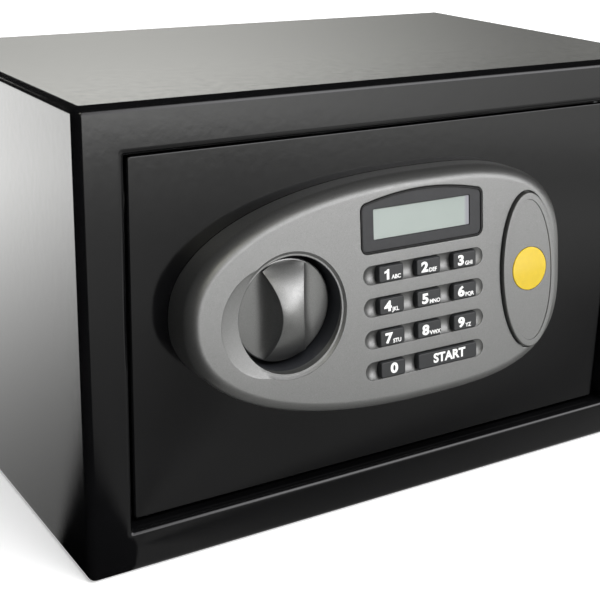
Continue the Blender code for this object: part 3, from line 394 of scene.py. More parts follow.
class Nodes:
    """A material's node tree being put together."""

    def __init__(self, name):
        self.material = bpy.data.materials.new(name)
        self.material.use_nodes = True
        self.nodes = self.material.node_tree.nodes
        self.links = self.material.node_tree.links

    def feed(self, value, socket):
        """Gives an input a link or a plain value."""
        if isinstance(value, bpy.types.NodeSocket):
            self.links.new(value, socket)
        else:
            socket.default_value = value

    def compute(self, operation, *values):
        node = self.nodes.new("ShaderNodeMath")
        node.operation = operation
        for socket, value in zip(node.inputs, values):
            self.feed(value, socket)
        return node.outputs[0]

    def chain(self, operation, result, *others):
        for value in others:
            result = self.compute(operation, result, value)
        return result

    def times(self, *values):
        return self.chain("MULTIPLY", *values)

    def plus(self, *values):
        return self.chain("ADD", *values)

    def length(self, across, along):
        squares = self.plus(self.times(across, across), self.times(along, along))
        return self.compute("POWER", squares, 0.5)

    def parts(self, vector):
        """A vector's X, Y and Z."""
        split = self.nodes.new("ShaderNodeSeparateXYZ")
        self.links.new(vector, split.inputs[0])
        return split.outputs

    def ramp(self, value, start, end, low, high):
        ramp = self.nodes.new("ShaderNodeMapRange")
        self.links.new(value, ramp.inputs["Value"])
        for name, number in (("From Min", start), ("From Max", end), ("To Min", low), ("To Max", high)):
            ramp.inputs[name].default_value = number
        return ramp


class Finish(Nodes):
    """The material of a piece."""

    def __init__(self, name, colour, roughness, metallic=0.0):
        super().__init__(name)
        self.shader = self.nodes["Principled BSDF"]
        self.colour = colour
        self.set(Base_Color=(*colour, 1), Roughness=roughness, Metallic=metallic)
        self.place = self.nodes.new("ShaderNodeTexCoord").outputs["Object"]

    def set(self, **values):
        for name, value in values.items():
            self.shader.inputs[name.replace("_", " ")].default_value = value

    def paint(self, colour):
        self.links.new(colour, self.shader.inputs["Base Color"])

    def noise(self, scale, detail=3.0, stretch=(1, 1, 1)):
        """A noise value of about 0.3 to 0.7, at scale per metre."""
        mapping = self.nodes.new("ShaderNodeMapping")
        mapping.inputs["Scale"].default_value = stretch
        self.links.new(self.place, mapping.inputs["Vector"])
        noise = self.nodes.new("ShaderNodeTexNoise")
        noise.inputs["Scale"].default_value = scale
        noise.inputs["Detail"].default_value = detail
        self.links.new(mapping.outputs["Vector"], noise.inputs["Vector"])
        return noise.outputs["Fac"]

    def wave(self, scale, distortion=0.0):
        """Bands across X."""
        wave = self.nodes.new("ShaderNodeTexWave")
        wave.inputs["Scale"].default_value = scale
        wave.inputs["Distortion"].default_value = distortion
        self.links.new(self.place, wave.inputs["Vector"])
        return wave.outputs["Fac"]

    def spread(self, value, low, high, start=0.3, end=0.7):
        """Maps a value's range to another."""
        return self.ramp(value, start, end, low, high).outputs["Result"]

    def mix(self, factor, first, second):
        """Mixes two colours, or sockets, by a factor socket."""
        mix = self.nodes.new("ShaderNodeMix")
        mix.data_type = "RGBA"
        self.links.new(factor, mix.inputs["Factor"])
        for socket, value in ((mix.inputs[6], first), (mix.inputs[7], second)):
            self.feed(value if isinstance(value, bpy.types.NodeSocket) else (*value, 1), socket)
        return mix.outputs[2]

    def mottle(self, scale, amount, detail=4.0, stretch=(1, 1, 1)):
        """Varies the colour by a share of itself."""
        darker = [c * (1 - amount) for c in self.colour]
        lighter = [c * (1 + amount) for c in self.colour]
        self.paint(self.mix(self.spread(self.noise(scale, detail, stretch), 0, 1), darker, lighter))

    def vary_roughness(self, scale, low, high, detail=4.0, stretch=(1, 1, 1)):
        value = self.spread(self.noise(scale, detail, stretch), low, high)
        self.links.new(value, self.shader.inputs["Roughness"])

    def bump(self, value, distance):
        """Adds a bump under any that is there already."""
        bump = self.nodes.new("ShaderNodeBump")
        bump.inputs["Distance"].default_value = distance
        self.links.new(value, bump.inputs["Height"])
        normal = self.shader.inputs["Normal"]
        if normal.is_linked:
            self.links.new(normal.links[0].from_socket, bump.inputs["Normal"])
        self.links.new(bump.outputs["Normal"], normal)


def black_paint():
    """Semi-gloss powder coat: a fine orange peel over a slow waviness."""
    finish = Finish("black_powder_coat", (0.0030, 0.0030, 0.0033), 0.12)
    finish.mottle(60, 0.12)
    finish.vary_roughness(240, 0.10, 0.14)
    finish.bump(finish.noise(260, 1.0), 0.000020)
    finish.bump(finish.noise(900, 2.0), 0.000006)
    return finish.material


def silver_lacquer(name, roughness=0.40, light_scale=1.0):
    """Metallic lacquer on plastic, with a fine flake; its last argument paints the colour lighter, as painted
    light.
    """
    finish = Finish(name, (0.24, 0.242, 0.237), roughness, LACQUER_METAL)
    flake = finish.spread(finish.noise(5200, 1.0), 0, 1, 0.35, 0.65)
    finish.paint(finish.mix(flake, [light_scale * c for c in FLAKE_DARK], [light_scale * c for c in FLAKE_LIGHT]))
    finish.vary_roughness(900, roughness - 0.04, roughness + 0.05)
    finish.bump(finish.noise(1500, 2.0), 0.000010)
    return finish


def bezel_lacquer():
    """The lacquer, turning dark grey and not metallic on the wall down in the knob's well."""
    finish = silver_lacquer("silver_lacquer_panel")
    lacquer = finish.shader.inputs["Base Color"].links[0].from_socket
    x, y, z = finish.parts(finish.place)
    reach = finish.length(finish.plus(x, -KNOB_X), finish.plus(z, -KNOB_Z))
    well = finish.spread(reach, 1, 0, WELL_RADIUS + 0.0002, WELL_RADIUS + 0.0004)
    deep = finish.spread(y, 0, 1, FRONT - 0.0112, FRONT - 0.0108)
    # Dark grey and not metallic inside the well's radius, where the surface is less than about 11 mm proud of
    # the frame.
    well_darkening = finish.times(well, deep)
    finish.paint(finish.mix(well_darkening, lacquer, (0.020, 0.021, 0.024)))
    finish.links.new(finish.spread(well_darkening, LACQUER_METAL, 0.0, 0, 1), finish.shader.inputs["Metallic"])
    return finish.material


def plastic(name, colour, roughness=0.42, grain=1800):
    """Moulded plastic with a fine spark-eroded grain."""
    finish = Finish(name, colour, roughness)
    finish.mottle(300, 0.08)
    finish.vary_roughness(700, roughness - 0.05, roughness + 0.06)
    finish.bump(finish.noise(grain, 2.0), 0.000012)
    return finish.material


def bare_steel(name, colour, roughness, stretch=(1, 1, 1)):
    """Turned or drawn steel, with fine tool marks."""
    finish = Finish(name, colour, roughness, 1.0)
    finish.mottle(150, 0.10, stretch=stretch)
    finish.vary_roughness(500, roughness - 0.07, roughness + 0.10, stretch=stretch)
    finish.bump(finish.noise(2500, 2.0, stretch), 0.000006)
    return finish.material


def zinc_plate():
    """Zinc plating, passivated: a faint yellow and blue bloom."""
    finish = Finish("zinc_plate", (0.60, 0.58, 0.52), 0.34, 1.0)
    bloom = finish.spread(finish.noise(55), 0, 1)
    finish.paint(finish.mix(bloom, (0.66, 0.60, 0.46), (0.52, 0.57, 0.62)))
    finish.vary_roughness(400, 0.26, 0.44)
    finish.bump(finish.noise(1600), 0.000008)
    return finish.material


def felt():
    finish = Finish("felt", (0.022, 0.023, 0.027), 0.95)
    finish.set(Sheen_Weight=0.35, Sheen_Roughness=0.5)
    finish.mottle(900, 0.45, 5.0)
    finish.bump(finish.noise(1400, 5.0), 0.00025)
    return finish.material


def board():
    """Solder mask with copper tracks under it and bare pads."""
    finish = Finish("circuit_board", (0.010, 0.120, 0.045), 0.30)
    tracks = finish.spread(finish.wave(130, 5), 0, 1, 0.45, 0.55)
    pads = finish.nodes.new("ShaderNodeTexVoronoi")
    pads.inputs["Scale"].default_value = 260
    finish.links.new(finish.place, pads.inputs["Vector"])
    spots = finish.spread(pads.outputs["Distance"], 1, 0, 0.16, 0.20)
    masked = finish.mix(tracks, (0.008, 0.085, 0.032), (0.016, 0.170, 0.070))
    finish.paint(finish.mix(spots, masked, (0.62, 0.60, 0.55)))
    finish.bump(tracks, 0.00003)
    return finish.material


def winding():
    """Enamelled wire wound across the coil's length."""
    finish = Finish("copper_winding", (0.55, 0.22, 0.10), 0.32, 0.9)
    turns = finish.wave(700)
    finish.paint(finish.mix(turns, (0.28, 0.09, 0.035), (0.62, 0.27, 0.13)))
    finish.bump(turns, 0.0001)
    return finish.material


def cell_jacket():
    """A printed sleeve with pale bands and an uneven gloss."""
    finish = Finish("cell_jacket", (0.03, 0.10, 0.16), 0.28)
    band = finish.spread(finish.wave(5.8), 0, 1, 0.80, 0.83)
    finish.paint(finish.mix(band, (0.02, 0.085, 0.15), (0.62, 0.60, 0.54)))
    finish.vary_roughness(800, 0.2, 0.4)
    return finish.material


def badge_enamel():
    """Clear gloss over yellow."""
    finish = Finish("yellow_enamel", (0.61, 0.43, 0.005), 0.22)
    finish.set(Coat_Weight=0.6, Coat_Roughness=0.06)
    finish.mottle(420, 0.04)
    finish.bump(finish.noise(500, 2.0), 0.000010)
    return finish.material


def display_glass():
    """Grey-green liquid crystal behind a clear sheet, with a painted shade, dark and slightly lilac, along
    its right end.
    """
    finish = Finish("lcd", (0.30, 0.345, 0.32), 0.30)
    finish.set(Coat_Weight=0.7, Coat_Roughness=0.05)
    across = finish.parts(finish.place)[0]
    # Painted shade: over its last 2 to 3 mm at the right, the cell turns a darker lilac grey where the
    # surround's recess would shade it.
    recess_shade = finish.spread(across, 0, 1, GLASS_RIGHT - 0.0028, GLASS_RIGHT - 0.0016)
    cloud = finish.spread(finish.noise(40), 0, 1)
    cell = finish.mix(cloud, (0.250, 0.290, 0.268), (0.268, 0.308, 0.286))
    finish.paint(finish.mix(recess_shade, cell, (0.20, 0.20, 0.225)))
    finish.bump(finish.noise(1200, 1.0), 0.000003)
    return finish.material


def legend_ink():
    finish = Finish("white_ink", (0.80, 0.80, 0.79), 0.50)
    finish.mottle(2500, 0.05)
    return finish.material


BLACK = black_paint()
PANEL_SILVER = bezel_lacquer()
# Painted light: the knob gets a 15% lighter copy of the lacquer, so that its crown shows brightly lit.
KNOB_LIGHTENED_SILVER = silver_lacquer("silver_lacquer_knob", 0.33, 1.15).material
BARE_PLASTIC = plastic("dark_plastic", (0.020, 0.020, 0.022))
GREY_PLASTIC = plastic("grey_plastic", (0.060, 0.060, 0.065), 0.38)
KEY_PLASTIC = plastic("key_plastic", (0.016, 0.017, 0.018), 0.36)
SEAL = plastic("black_seal", (0.003, 0.003, 0.003), 0.60)
SURROUND = plastic("surround_plastic", (0.015, 0.0155, 0.017), 0.42)
ZINC = zinc_plate()
BRIGHT = bare_steel("bright_steel", (0.56, 0.57, 0.58), 0.24, (0.2, 1, 1))
BRASS = bare_steel("machined_brass", (0.72, 0.52, 0.20), 0.27)
RED = plastic("red_rubber", (0.45, 0.03, 0.02), 0.5, 1200)
INK = legend_ink()
YELLOW = badge_enamel()
GLASS = display_glass()
BOARD = board()
WINDING = winding()
JACKET = cell_jacket()
COVER_SILVER = silver_lacquer("silver_lacquer_cover").material
FELT = felt()


# ---------------------------------------------------------------- steel box and door


def box_ring(inset, depth, radius):
    """A rounded rectangle round the box's outline, drawn in by inset."""
    half = WIDTH / 2 - inset
    return upright(rounded_rectangle(-half, half, inset, HEIGHT - inset, radius, CORNER_STEPS), depth)


def body():
    """Walls, front bend, frame, rounded lip and the return of the lip, as one folded sheet."""
    rings = [box_ring(0, DEPTH, BEND_RADIUS)]
    for turn_in, drop in reversed(quarter(BEND_STEPS)):
        inset = BEND_RADIUS * turn_in
        rings.append(box_ring(inset, BEND_RADIUS * drop, BEND_RADIUS - inset + 0.00002))
    for turn_in, drop in quarter(BEND_STEPS):
        widening = LIP_RADIUS * turn_in
        rings.append(box_ring(FRAME_WIDTH - widening, LIP_RADIUS * drop, OPENING_CORNER + widening * 0.4))
    rings.append(box_ring(FRAME_WIDTH, LIP_DEPTH, OPENING_CORNER))
    rings.append(box_ring(FRAME_WIDTH - SHEET, LIP_DEPTH, OPENING_CORNER))
    rings.append(box_ring(FRAME_WIDTH - SHEET, SHEET, OPENING_CORNER))
    rings.append(box_ring(SHEET, SHEET, INNER_CORNER))
    rings.append(box_ring(SHEET, DEPTH, INNER_CORNER))
    rings.append(rings[0])
    surface = Surface()
    surface.join(rings)
    mesh = surface.finish("safe_body")
    upright = Matrix.Translation(spot(HINGE_X, HINGE_DEPTH, 0))
    cutters = [
        rod(upright, HINGE_HOLE, HEIGHT - FRAME_WIDTH - 0.004, HEIGHT - FRAME_WIDTH + 0.004),
        rod(upright, HINGE_HOLE, FRAME_WIDTH - 0.004, FRAME_WIDTH + 0.004),
    ]
    for side in (-1, 1):
        hole = Matrix.Translation(spot(side * ANCHOR_X, BASE_ANCHOR_DEPTH, 0))
        cutters.append(rod(hole, ANCHOR_RADIUS, -0.002, 0.004))
    mesh = combine(mesh, "DIFFERENCE", *cutters)
    piece("safe_body", mesh, BLACK, "root", "black_paint", "body_shell")


def door():
    """The door plate, with softly rounded edges and holes for spindle, lock and lead."""
    half = (DOOR_HIGH.x - DOOR_LOW.x) / 2
    low, high = DOOR_LOW.z - DOOR_SPARE, DOOR_HIGH.z + DOOR_SPARE

    def ring(inset, depth):
        side, corner = half - inset, DOOR_CORNER - inset * 0.8
        return upright(rounded_rectangle(-side, side, low + inset, high - inset, corner), depth)

    edge = DOOR_EDGE
    rings = [ring(edge * turn_in, DOOR_BACK - edge * drop) for turn_in, drop in quarter(4)]
    rings += [ring(edge * turn_in, DOOR_FACE + edge * drop) for turn_in, drop in quarter(4)[::-1]]
    mesh = loft("door_plate", rings)
    holes = (
        (KNOB_X, KNOB_Z, SPINDLE_HOLE),
        (LOCK_X, LOCK_Z, LOCK_RADIUS + GAP),
        (LEAD_X, LEAD_Z, LEAD_HOLE),
    )
    cutters = [rod(facing_out(x, DOOR_FACE, z), radius, -0.006, 0.002) for x, z, radius in holes]
    mesh = combine(mesh, "DIFFERENCE", *cutters)
    piece("door_plate", mesh, BLACK, "door", "black_paint", "door_panel")


# ---------------------------------------------------------------- keypad panel


def panel_outline(inset):
    """The panel's outline as (x, z) points, drawn in by inset."""
    points = []
    for i in range(PANEL_SIDES):
        angle = 2 * math.pi * (i + 0.5) / PANEL_SIDES
        across, up = math.cos(angle), math.sin(angle)
        width, power = PANEL_LEFT, PANEL_LEFT_POWER
        if across > 0:
            width, power = PANEL_RIGHT, PANEL_RIGHT_POWER
        x = PANEL_X + math.copysign((width - inset) * abs(across) ** (2 / power), across)
        z = PANEL_Z + math.copysign((PANEL_HALF_HEIGHT - inset) * abs(up) ** (2 / power), up)
        points.append((x, z))
    return points


def face_depth(z, sink=0.0):
    return sink - PANEL_PROUD + (z - PANEL_Z) * math.tan(TILT)


def panel_ring(inset, sink):
    return [spot(x, face_depth(z, sink), z) for x, z in panel_outline(inset)]


def to_uv(x, z, w=0.0):
    """Where a line square to the door through (x, z) meets the face's level w."""
    return x, (z - PANEL_Z - w * math.sin(TILT)) / math.cos(TILT)


def scoop_depth(u, v):
    """How deep the finger scoop is below the face: a small step, then a bowl."""
    reach = math.hypot(u - SCOOP_U, v - SCOOP_V)
    if reach >= SCOOP_RADIUS:
        return 0.0
    radius = (SCOOP_RADIUS**2 + SCOOP_SINK**2) / (2 * SCOOP_SINK)
    step = min(1.0, (SCOOP_RADIUS - reach) / SCOOP_LIP)
    return SCOOP_SINK - radius + math.sqrt(radius**2 - reach**2) + SCOOP_STEP * step * step * (3 - 2 * step)


def well_circle(radius):
    return circle(radius, WELL_SIDES, (KNOB_X, KNOB_Z))


def well_rings():
    """From the face down a step, a slope and a ledge to the well's wall."""
    rings = []
    ledge, fillet = WELL_LEDGE, WELL_FILLET
    profile = [(WELL_RIM, 0, 0), (WELL_RIM - 0.00005, 0.00015, 0), (WELL_SLOPE, ledge - 0.00004, 0)]
    profile += [(WELL_SLOPE - 0.0001, ledge, 0), (fillet, ledge, 0)]
    profile += [(fillet * turn_in, ledge, fillet * drop) for turn_in, drop in quarter(4)[1:]]
    for out, drop, more in profile:
        ring = []
        for x, z in well_circle(WELL_RADIUS + out):
            sink = max(scoop_depth(*to_uv(x, z)), drop) + more
            ring.append(spot(x, face_depth(z, sink), z))
        rings.append(ring)
    back = DOOR_FACE - GAP
    outer = well_circle(WELL_RADIUS + WELL_WALL)
    rings += [upright(well_circle(WELL_RADIUS), back), upright(outer, back)]
    rings.append([on_face(*to_uv(x, z, PANEL_CEILING), PANEL_CEILING) for x, z in outer])
    return rings


def scoop_points():
    """Rings of points over the scoop, outside the well."""
    points = []
    floor = SCOOP_RADIUS - SCOOP_LIP
    reaches = [SCOOP_RADIUS - SCOOP_LIP * step / 4 for step in range(4)]
    reaches += [floor * (1 - step / 14) for step in range(14)]
    for reach in reaches:
        count = max(8, int(WELL_SIDES * reach / SCOOP_RADIUS))
        for u, v in circle(reach, count, (SCOOP_U, SCOOP_V)):
            z = PANEL_Z + v * math.cos(TILT)
            if math.hypot(u - KNOB_X, z - KNOB_Z) > WELL_RADIUS + WELL_RIM + 0.0004:
                points.append((u, v))
    return points


def key_places():
    """Each key's name, its middle (u, v) and its width."""
    places = []
    for number in range(1, 10):
        row, column = divmod(number - 1, 3)
        u = KEY_MID_U + (column - 1) * KEY_PITCH_U
        places.append(("key_%d" % number, u, KEY_TOP_ROW_V - row * KEY_PITCH_V, KEY_WIDTH))
    v = KEY_TOP_ROW_V - 3 * KEY_PITCH_V
    places.append(("key_0", KEY_MID_U - KEY_PITCH_U, v, KEY_WIDTH))
    places.append(("key_start", KEY_MID_U + KEY_PITCH_U / 2, v, KEY_WIDTH + KEY_PITCH_U))
    return places


def window_outline(inset):
    """The display window's outline: rounded corners and an arched top."""
    left, right = WINDOW_LEFT + inset, WINDOW_RIGHT - inset
    low, corner = WINDOW_LOW + inset, WINDOW_CORNER - inset
    half = (WINDOW_RIGHT - WINDOW_LEFT) / 2
    radius = (half**2 + WINDOW_RISE**2) / (2 * WINDOW_RISE)
    middle = ((left + right) / 2, WINDOW_SHOULDER + WINDOW_RISE - radius)
    spread = math.degrees(math.asin((right - corner - middle[0]) / (radius - inset)))
    shoulder = middle[1] + (radius - inset) * math.cos(math.radians(spread)) - corner
    outline = arc((left + corner, low + corner), corner, 180, 270, 8)
    outline += arc((right - corner, low + corner), corner, 270, 360, 8)
    outline += arc((right - corner, shoulder), corner, 0, 80, 8)
    outline += arc(middle, radius - inset, 90 - spread, 90 + spread, 24)
    outline += arc((left + corner, shoulder), corner, 100, 180, 8)
    return outline


def slot_outline(row, grow):
    v = KEY_TOP_ROW_V - row * KEY_PITCH_V
    half = SLOT_HEIGHT / 2 + grow
    return rounded_rectangle(SLOT_LEFT - grow, SLOT_RIGHT + grow, v - half, v + half, half - 0.00005, 10)


def key_outline(u, v, width, grow, corner, count):
    half, tall = width / 2 + grow, KEY_HEIGHT / 2 + grow
    return rounded_rectangle(u - half, u + half, v - tall, v + tall, corner, count)


def cover_oval(grow, half_width=COVER_HALF_WIDTH, half_height=COVER_HALF_HEIGHT):
    """A leaning ellipse about the oval cover's middle."""
    cosine, sine = math.cos(COVER_LEAN), math.sin(COVER_LEAN)
    points = []
    for x, y in circle(1, COVER_SIDES):
        across, up = (half_width + grow) * x, (half_height + grow) * y
        points.append((COVER_U + across * cosine - up * sine, COVER_V + across * sine + up * cosine))
    return points


def slots(surface):
    """Four hollow slots with round ends, deepest along their middle."""
    half = SLOT_HEIGHT / 2
    for row in range(4):
        rings = round_over(lambda grow: slot_outline(row, grow), SLOT_EDGE, 0, 3)
        for step in range(1, 13):
            reach = 1 - step / 12.6
            sink = SLOT_EDGE + (SLOT_SINK - SLOT_EDGE) * (1 - reach**2)
            rings.append(level(slot_outline(row, half * (reach - 1)), -sink))
        surface.join(rings)
        surface.cap(rings[-1])


def key_cutters():
    """The holes that the keys come through."""
    cutters = []
    for _, u, v, width in key_places():
        outline = key_outline(u, v, width, KEY_CLEARANCE, KEY_CORNER, 4)
        cutters.append(loft("hole", [level(outline, 0.001), level(outline, PANEL_CEILING - 0.001)]))
    return cutters


def face_point(u, v):
    """A point of the panel's face, down in the scoop where there is one."""
    z = PANEL_Z + v * math.cos(TILT)
    return spot(u, face_depth(z, scoop_depth(u, v)), z)


def bezel():
    """The moulded panel as one closed shell: face, wall, well, slots, window and oval recess."""
    surface = Surface()
    rings = [panel_ring(PANEL_FILLET * turn_in, PANEL_FILLET * drop) for turn_in, drop in quarter(12)]
    back = DOOR_FACE - GAP
    rings += [upright(panel_outline(inset), back) for inset in (0, PANEL_WALL)]
    inner = [to_uv(x, z, PANEL_CEILING) for x, z in panel_outline(PANEL_WALL)]
    rings.append(level(inner, PANEL_CEILING))
    surface.join(rings)
    surface.join(well_rings())
    slots(surface)
    rings = round_over(lambda grow: window_outline(-grow), WINDOW_EDGE, 0, 4)
    surface.join(rings + [level(window_outline(0), PANEL_CEILING)])
    outline = [to_uv(x, z) for x, z in panel_outline(PANEL_FILLET)]
    holes = [[to_uv(x, z) for x, z in well_circle(WELL_RADIUS + WELL_RIM)]]
    holes += [slot_outline(row, SLOT_EDGE) for row in range(4)]
    holes += [window_outline(-WINDOW_EDGE)]
    surface.fill(outline, holes, face_point, scoop_points())
    ceiling_holes = [[to_uv(x, z, PANEL_CEILING) for x, z in well_circle(WELL_RADIUS + WELL_WALL)]]
    ceiling_holes += [window_outline(0)]
    surface.fill(inner, ceiling_holes, lambda u, v: on_face(u, v, PANEL_CEILING))
    recess = [level(cover_oval(COVER_GROOVE), -COVER_SINK)]
    recess += round_over(lambda grow: cover_oval(COVER_GROOVE + grow), COVER_FLARE, 0, 4)[::-1]
    recess.append(level(cover_oval(COVER_GROOVE + COVER_FLARE), 0.003))
    lock_hole = rod(facing_out(LOCK_X, 0, LOCK_Z), LOCK_RADIUS + GAP, 0, 0.02, 64)
    cutters = [loft("oval_recess", recess), lock_hole, *key_cutters()]
    mesh = combine(surface.finish("panel_moulding"), "DIFFERENCE", *cutters)
    piece("panel_moulding", mesh, PANEL_SILVER, "door", "silver_lacquer", "keypad_bezel")


def gasket():
    """The thin black seal round the display window."""
    low, outer, inner, soft = -0.0020, 0.0001, 0.0010, 0.0001
    rings = [level(window_outline(outer), low), level(window_outline(outer), -soft)]
    rings += [level(window_outline(outer + soft), 0), level(window_outline(inner - soft), 0)]
    rings += [level(window_outline(inner), -soft), level(window_outline(inner), low), rings[0]]
    surface = Surface()
    surface.join(rings)
    piece("window_seal", surface.finish("window_seal"), SEAL, "door", "dark_plastic", "lcd_gasket")


def glass_outline(wide, tall, corner):
    """The display's outline, grown sideways and upright."""
    left, right, low, high = GLASS_LEFT - wide, GLASS_RIGHT + wide, GLASS_LOW - tall, GLASS_HIGH + tall
    return rounded_rectangle(left, right, low, high, corner, 4)


def surround():
    """The display's dark surround, dropping to its aperture over a narrow chamfer."""
    top, low = -0.0004, -0.0022
    outer = window_outline(0.00105)
    bevel, corner = 0.0003, 0.0005
    surface = Surface()
    surface.join([level(outer, top), level(outer, low)])
    rings = round_over(lambda grow: glass_outline(grow, grow, corner + grow), bevel, top, 3)
    aperture = glass_outline(0, 0, corner)
    surface.join(rings + [level(aperture, low)])
    surface.fill(outer, [glass_outline(bevel, bevel, corner + bevel)], lambda u, v: on_face(u, v, top))
    surface.fill(outer, [aperture], lambda u, v: on_face(u, v, low))
    mesh = surface.finish("display_surround")
    piece("display_surround", mesh, SURROUND, "door", "grey_plastic", "lcd_window")


def display():
    """The display: a cell that stands up into the surround's aperture, on its wider carrier."""
    corner, shoulder = 0.0004, -0.0025
    carrier, cell = glass_outline(0.003, 0.002, corner), glass_outline(-0.0001, -0.0001, corner)
    rings = [level(carrier, -0.0056), level(carrier, shoulder), level(cell, shoulder), level(cell, -0.0008)]
    piece("display_cell", loft("display_cell", rings), GLASS, "door", "lcd_glass", "lcd_display")


# ---------------------------------------------------------------- oval cover, badge and keys


def dish(grow):
    return cover_oval(grow, DISH_HALF_WIDTH, DISH_HALF_HEIGHT)


def cover():
    """The oval cover: a rounded rim round a shallow dish, with a seat for the badge."""
    back, chamfer = -COVER_SINK + GAP, 0.0004
    rings = [level(cover_oval(-chamfer), back), level(cover_oval(0), back + chamfer)]
    rings += round_over(lambda grow: cover_oval(-grow), COVER_EDGE, COVER_PROUD, 5)[::-1]
    floor, lip = COVER_PROUD - DISH_SINK, 0.00018
    rings += round_over(dish, lip, COVER_PROUD, 3)
    rings.append(level(dish(-0.0001), floor))
    surface = Surface()
    surface.join(rings)
    surface.cap(rings[0])
    seat = circle(BADGE_RADIUS + GAP, BADGE_SIDES, (BADGE_U, BADGE_V))
    surface.fill(dish(-0.0001), [seat], lambda u, v: on_face(u, v, floor))
    surface.join([level(seat, floor), level(seat, floor - BADGE_SEAT)])
    surface.cap(level(seat, floor - BADGE_SEAT))
    mesh = surface.finish("oval_cover")
    piece("oval_cover", mesh, COVER_SILVER, "override_cover", "silver_lacquer", "override_cover")


def badge():
    """A domed round badge."""
    seat = FACE @ Matrix.Translation((BADGE_U, BADGE_V, COVER_PROUD - DISH_SINK))
    side, crown = BADGE_EDGE, BADGE_RADIUS - BADGE_EDGE
    profile = [(BADGE_RADIUS, GAP - BADGE_SEAT), (BADGE_RADIUS, 0)]
    profile += [(BADGE_RADIUS - side * turn_in, side - side * drop) for turn_in, drop in quarter(4)[::-1]]
    for step in range(1, 13):
        reach = crown * (1 - step / 13)
        profile.append((reach, side + (BADGE_DOME - side) * (1 - (reach / crown) ** 2)))
    mesh = loft("yellow_badge", [turned(seat, radius, height, BADGE_SIDES) for radius, height in profile])
    piece("yellow_badge", mesh, YELLOW, "override_cover", "yellow_badge", "override_badge", angle=50)


def key_caps():
    """Keys with rounded edges."""
    for name, u, v, width in key_places():

        def outline_at(inset):
            return key_outline(u, v, width, -inset, KEY_CORNER - inset * 0.7, 6)

        rings = [level(outline_at(0), KEY_FOOT), *round_over(outline_at, KEY_EDGE, KEY_PROUD, 6)[::-1]]
        mesh = loft(name + "_cap", rings)
        piece(name + "_cap", mesh, KEY_PLASTIC, name, "key_plastic", name, angle=50)


def legend(name, text, size, u, v, body, weight, wide, anchor="CENTER"):
    """White printed characters, standing a hair off a key's top."""
    words = bpy.data.curves.new(name, "FONT")
    words.body = text
    words.size = size
    words.align_x = anchor
    words.align_y = "CENTER"
    words.offset = weight
    words.extrude = 0.00003
    words.resolution_u = 6
    words.materials.append(INK)
    thing = bpy.data.objects.new(name, words)
    place = FACE @ Matrix.Translation((u, v, KEY_PROUD + 0.00002))
    thing.matrix_world = place @ Matrix.Diagonal((wide, 1, 1, 1))
    bpy.context.scene.collection.objects.link(thing)
    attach(thing, body)


def digit_one(u, v):
    """A bold 1 with a flag, which the built-in typeface lacks."""
    shape = ((0, -2.3), (1.3, -2.3), (1.3, 2.3), (0.4, 2.3), (-0.2, 1.7), (-1.2, 1.4), (-1.2, 0.5), (0, 0.8))
    outline = [(u + across / 1000, v + up / 1000) for across, up in shape]
    mesh = loft("digit_1", [level(outline, KEY_PROUD + 0.00001), level(outline, KEY_PROUD + 0.00005)])
    piece("digit_1", mesh, INK, "key_1", "key_plastic")


def legends():
    letters = ("ABC", "DEF", "GHI", "JKL", "MNO", "PQR", "STU", "VWX", "YZ")
    for name, u, v, _ in key_places():
        if name == "key_start":
            legend("start_legend", "START", 0.0058, u + 0.0008, v, name, 0.00020, 1.06)
        elif name == "key_0":
            legend("digit_0", "0", DIGIT_SIZE, u + 0.0004, v, name, DIGIT_WEIGHT, 1.25)
        else:
            number = int(name[-1])
            if number == 1:
                digit_one(u - 0.0025, v - 0.0003)
            else:
                place = u - 0.0022, v - 0.0003
                legend("digit_%d" % number, str(number), DIGIT_SIZE, *place, name, DIGIT_WEIGHT, 1.22)
            place = u + 0.0001, v - 0.0018
            legend("letters_%d" % number, letters[number - 1], 0.0025, *place, name, 0.00007, 1.0, "LEFT")


# ---------------------------------------------------------------- knob


def grip_section(frame, v):
    """One cross-section of the knob at v: disc face, hollow flanks and the bar's crown."""
    wide, deep = KNOB_RADIUS + 0.002, -KNOB_FACE + KNOB_BACK + 0.001
    half = GRIP_WAIST + GRIP_FLARE * (v / KNOB_RADIUS) ** 2
    rise = max(0.0, GRIP_HEIGHT * (1 - (v / GRIP_HALF_LENGTH) ** 2))
    share = min(1.0, rise / GRIP_FADE)
    crown, edge = GRIP_CROWN * share, GRIP_EDGE * share
    flank = GRIP_FLANK * math.sqrt(max(rise, GRIP_LEAST) / GRIP_HEIGHT)
    side = []
    for step in range(9):
        part = step / 8
        side.append(((half - GRIP_EDGE) * part, rise - crown * part**2))
    for step in range(1, 5):
        angle = math.pi / 2 * step / 4
        side.append((half - GRIP_EDGE * (1 - math.sin(angle)), rise - crown - edge * (1 - math.cos(angle))))
    foot = rise - crown - edge
    for step in range(1, 19):
        angle = math.pi / 2 * step / 18
        side.append((half + flank * (1 - math.cos(angle)), foot * (1 - math.sin(angle))))
    side += [(wide, 0), (wide, -deep)]
    outline = side + [(-u, w) for u, w in side[:0:-1]]
    return [frame @ Vector((u, v, w - KNOB_FACE)) for u, w in outline]


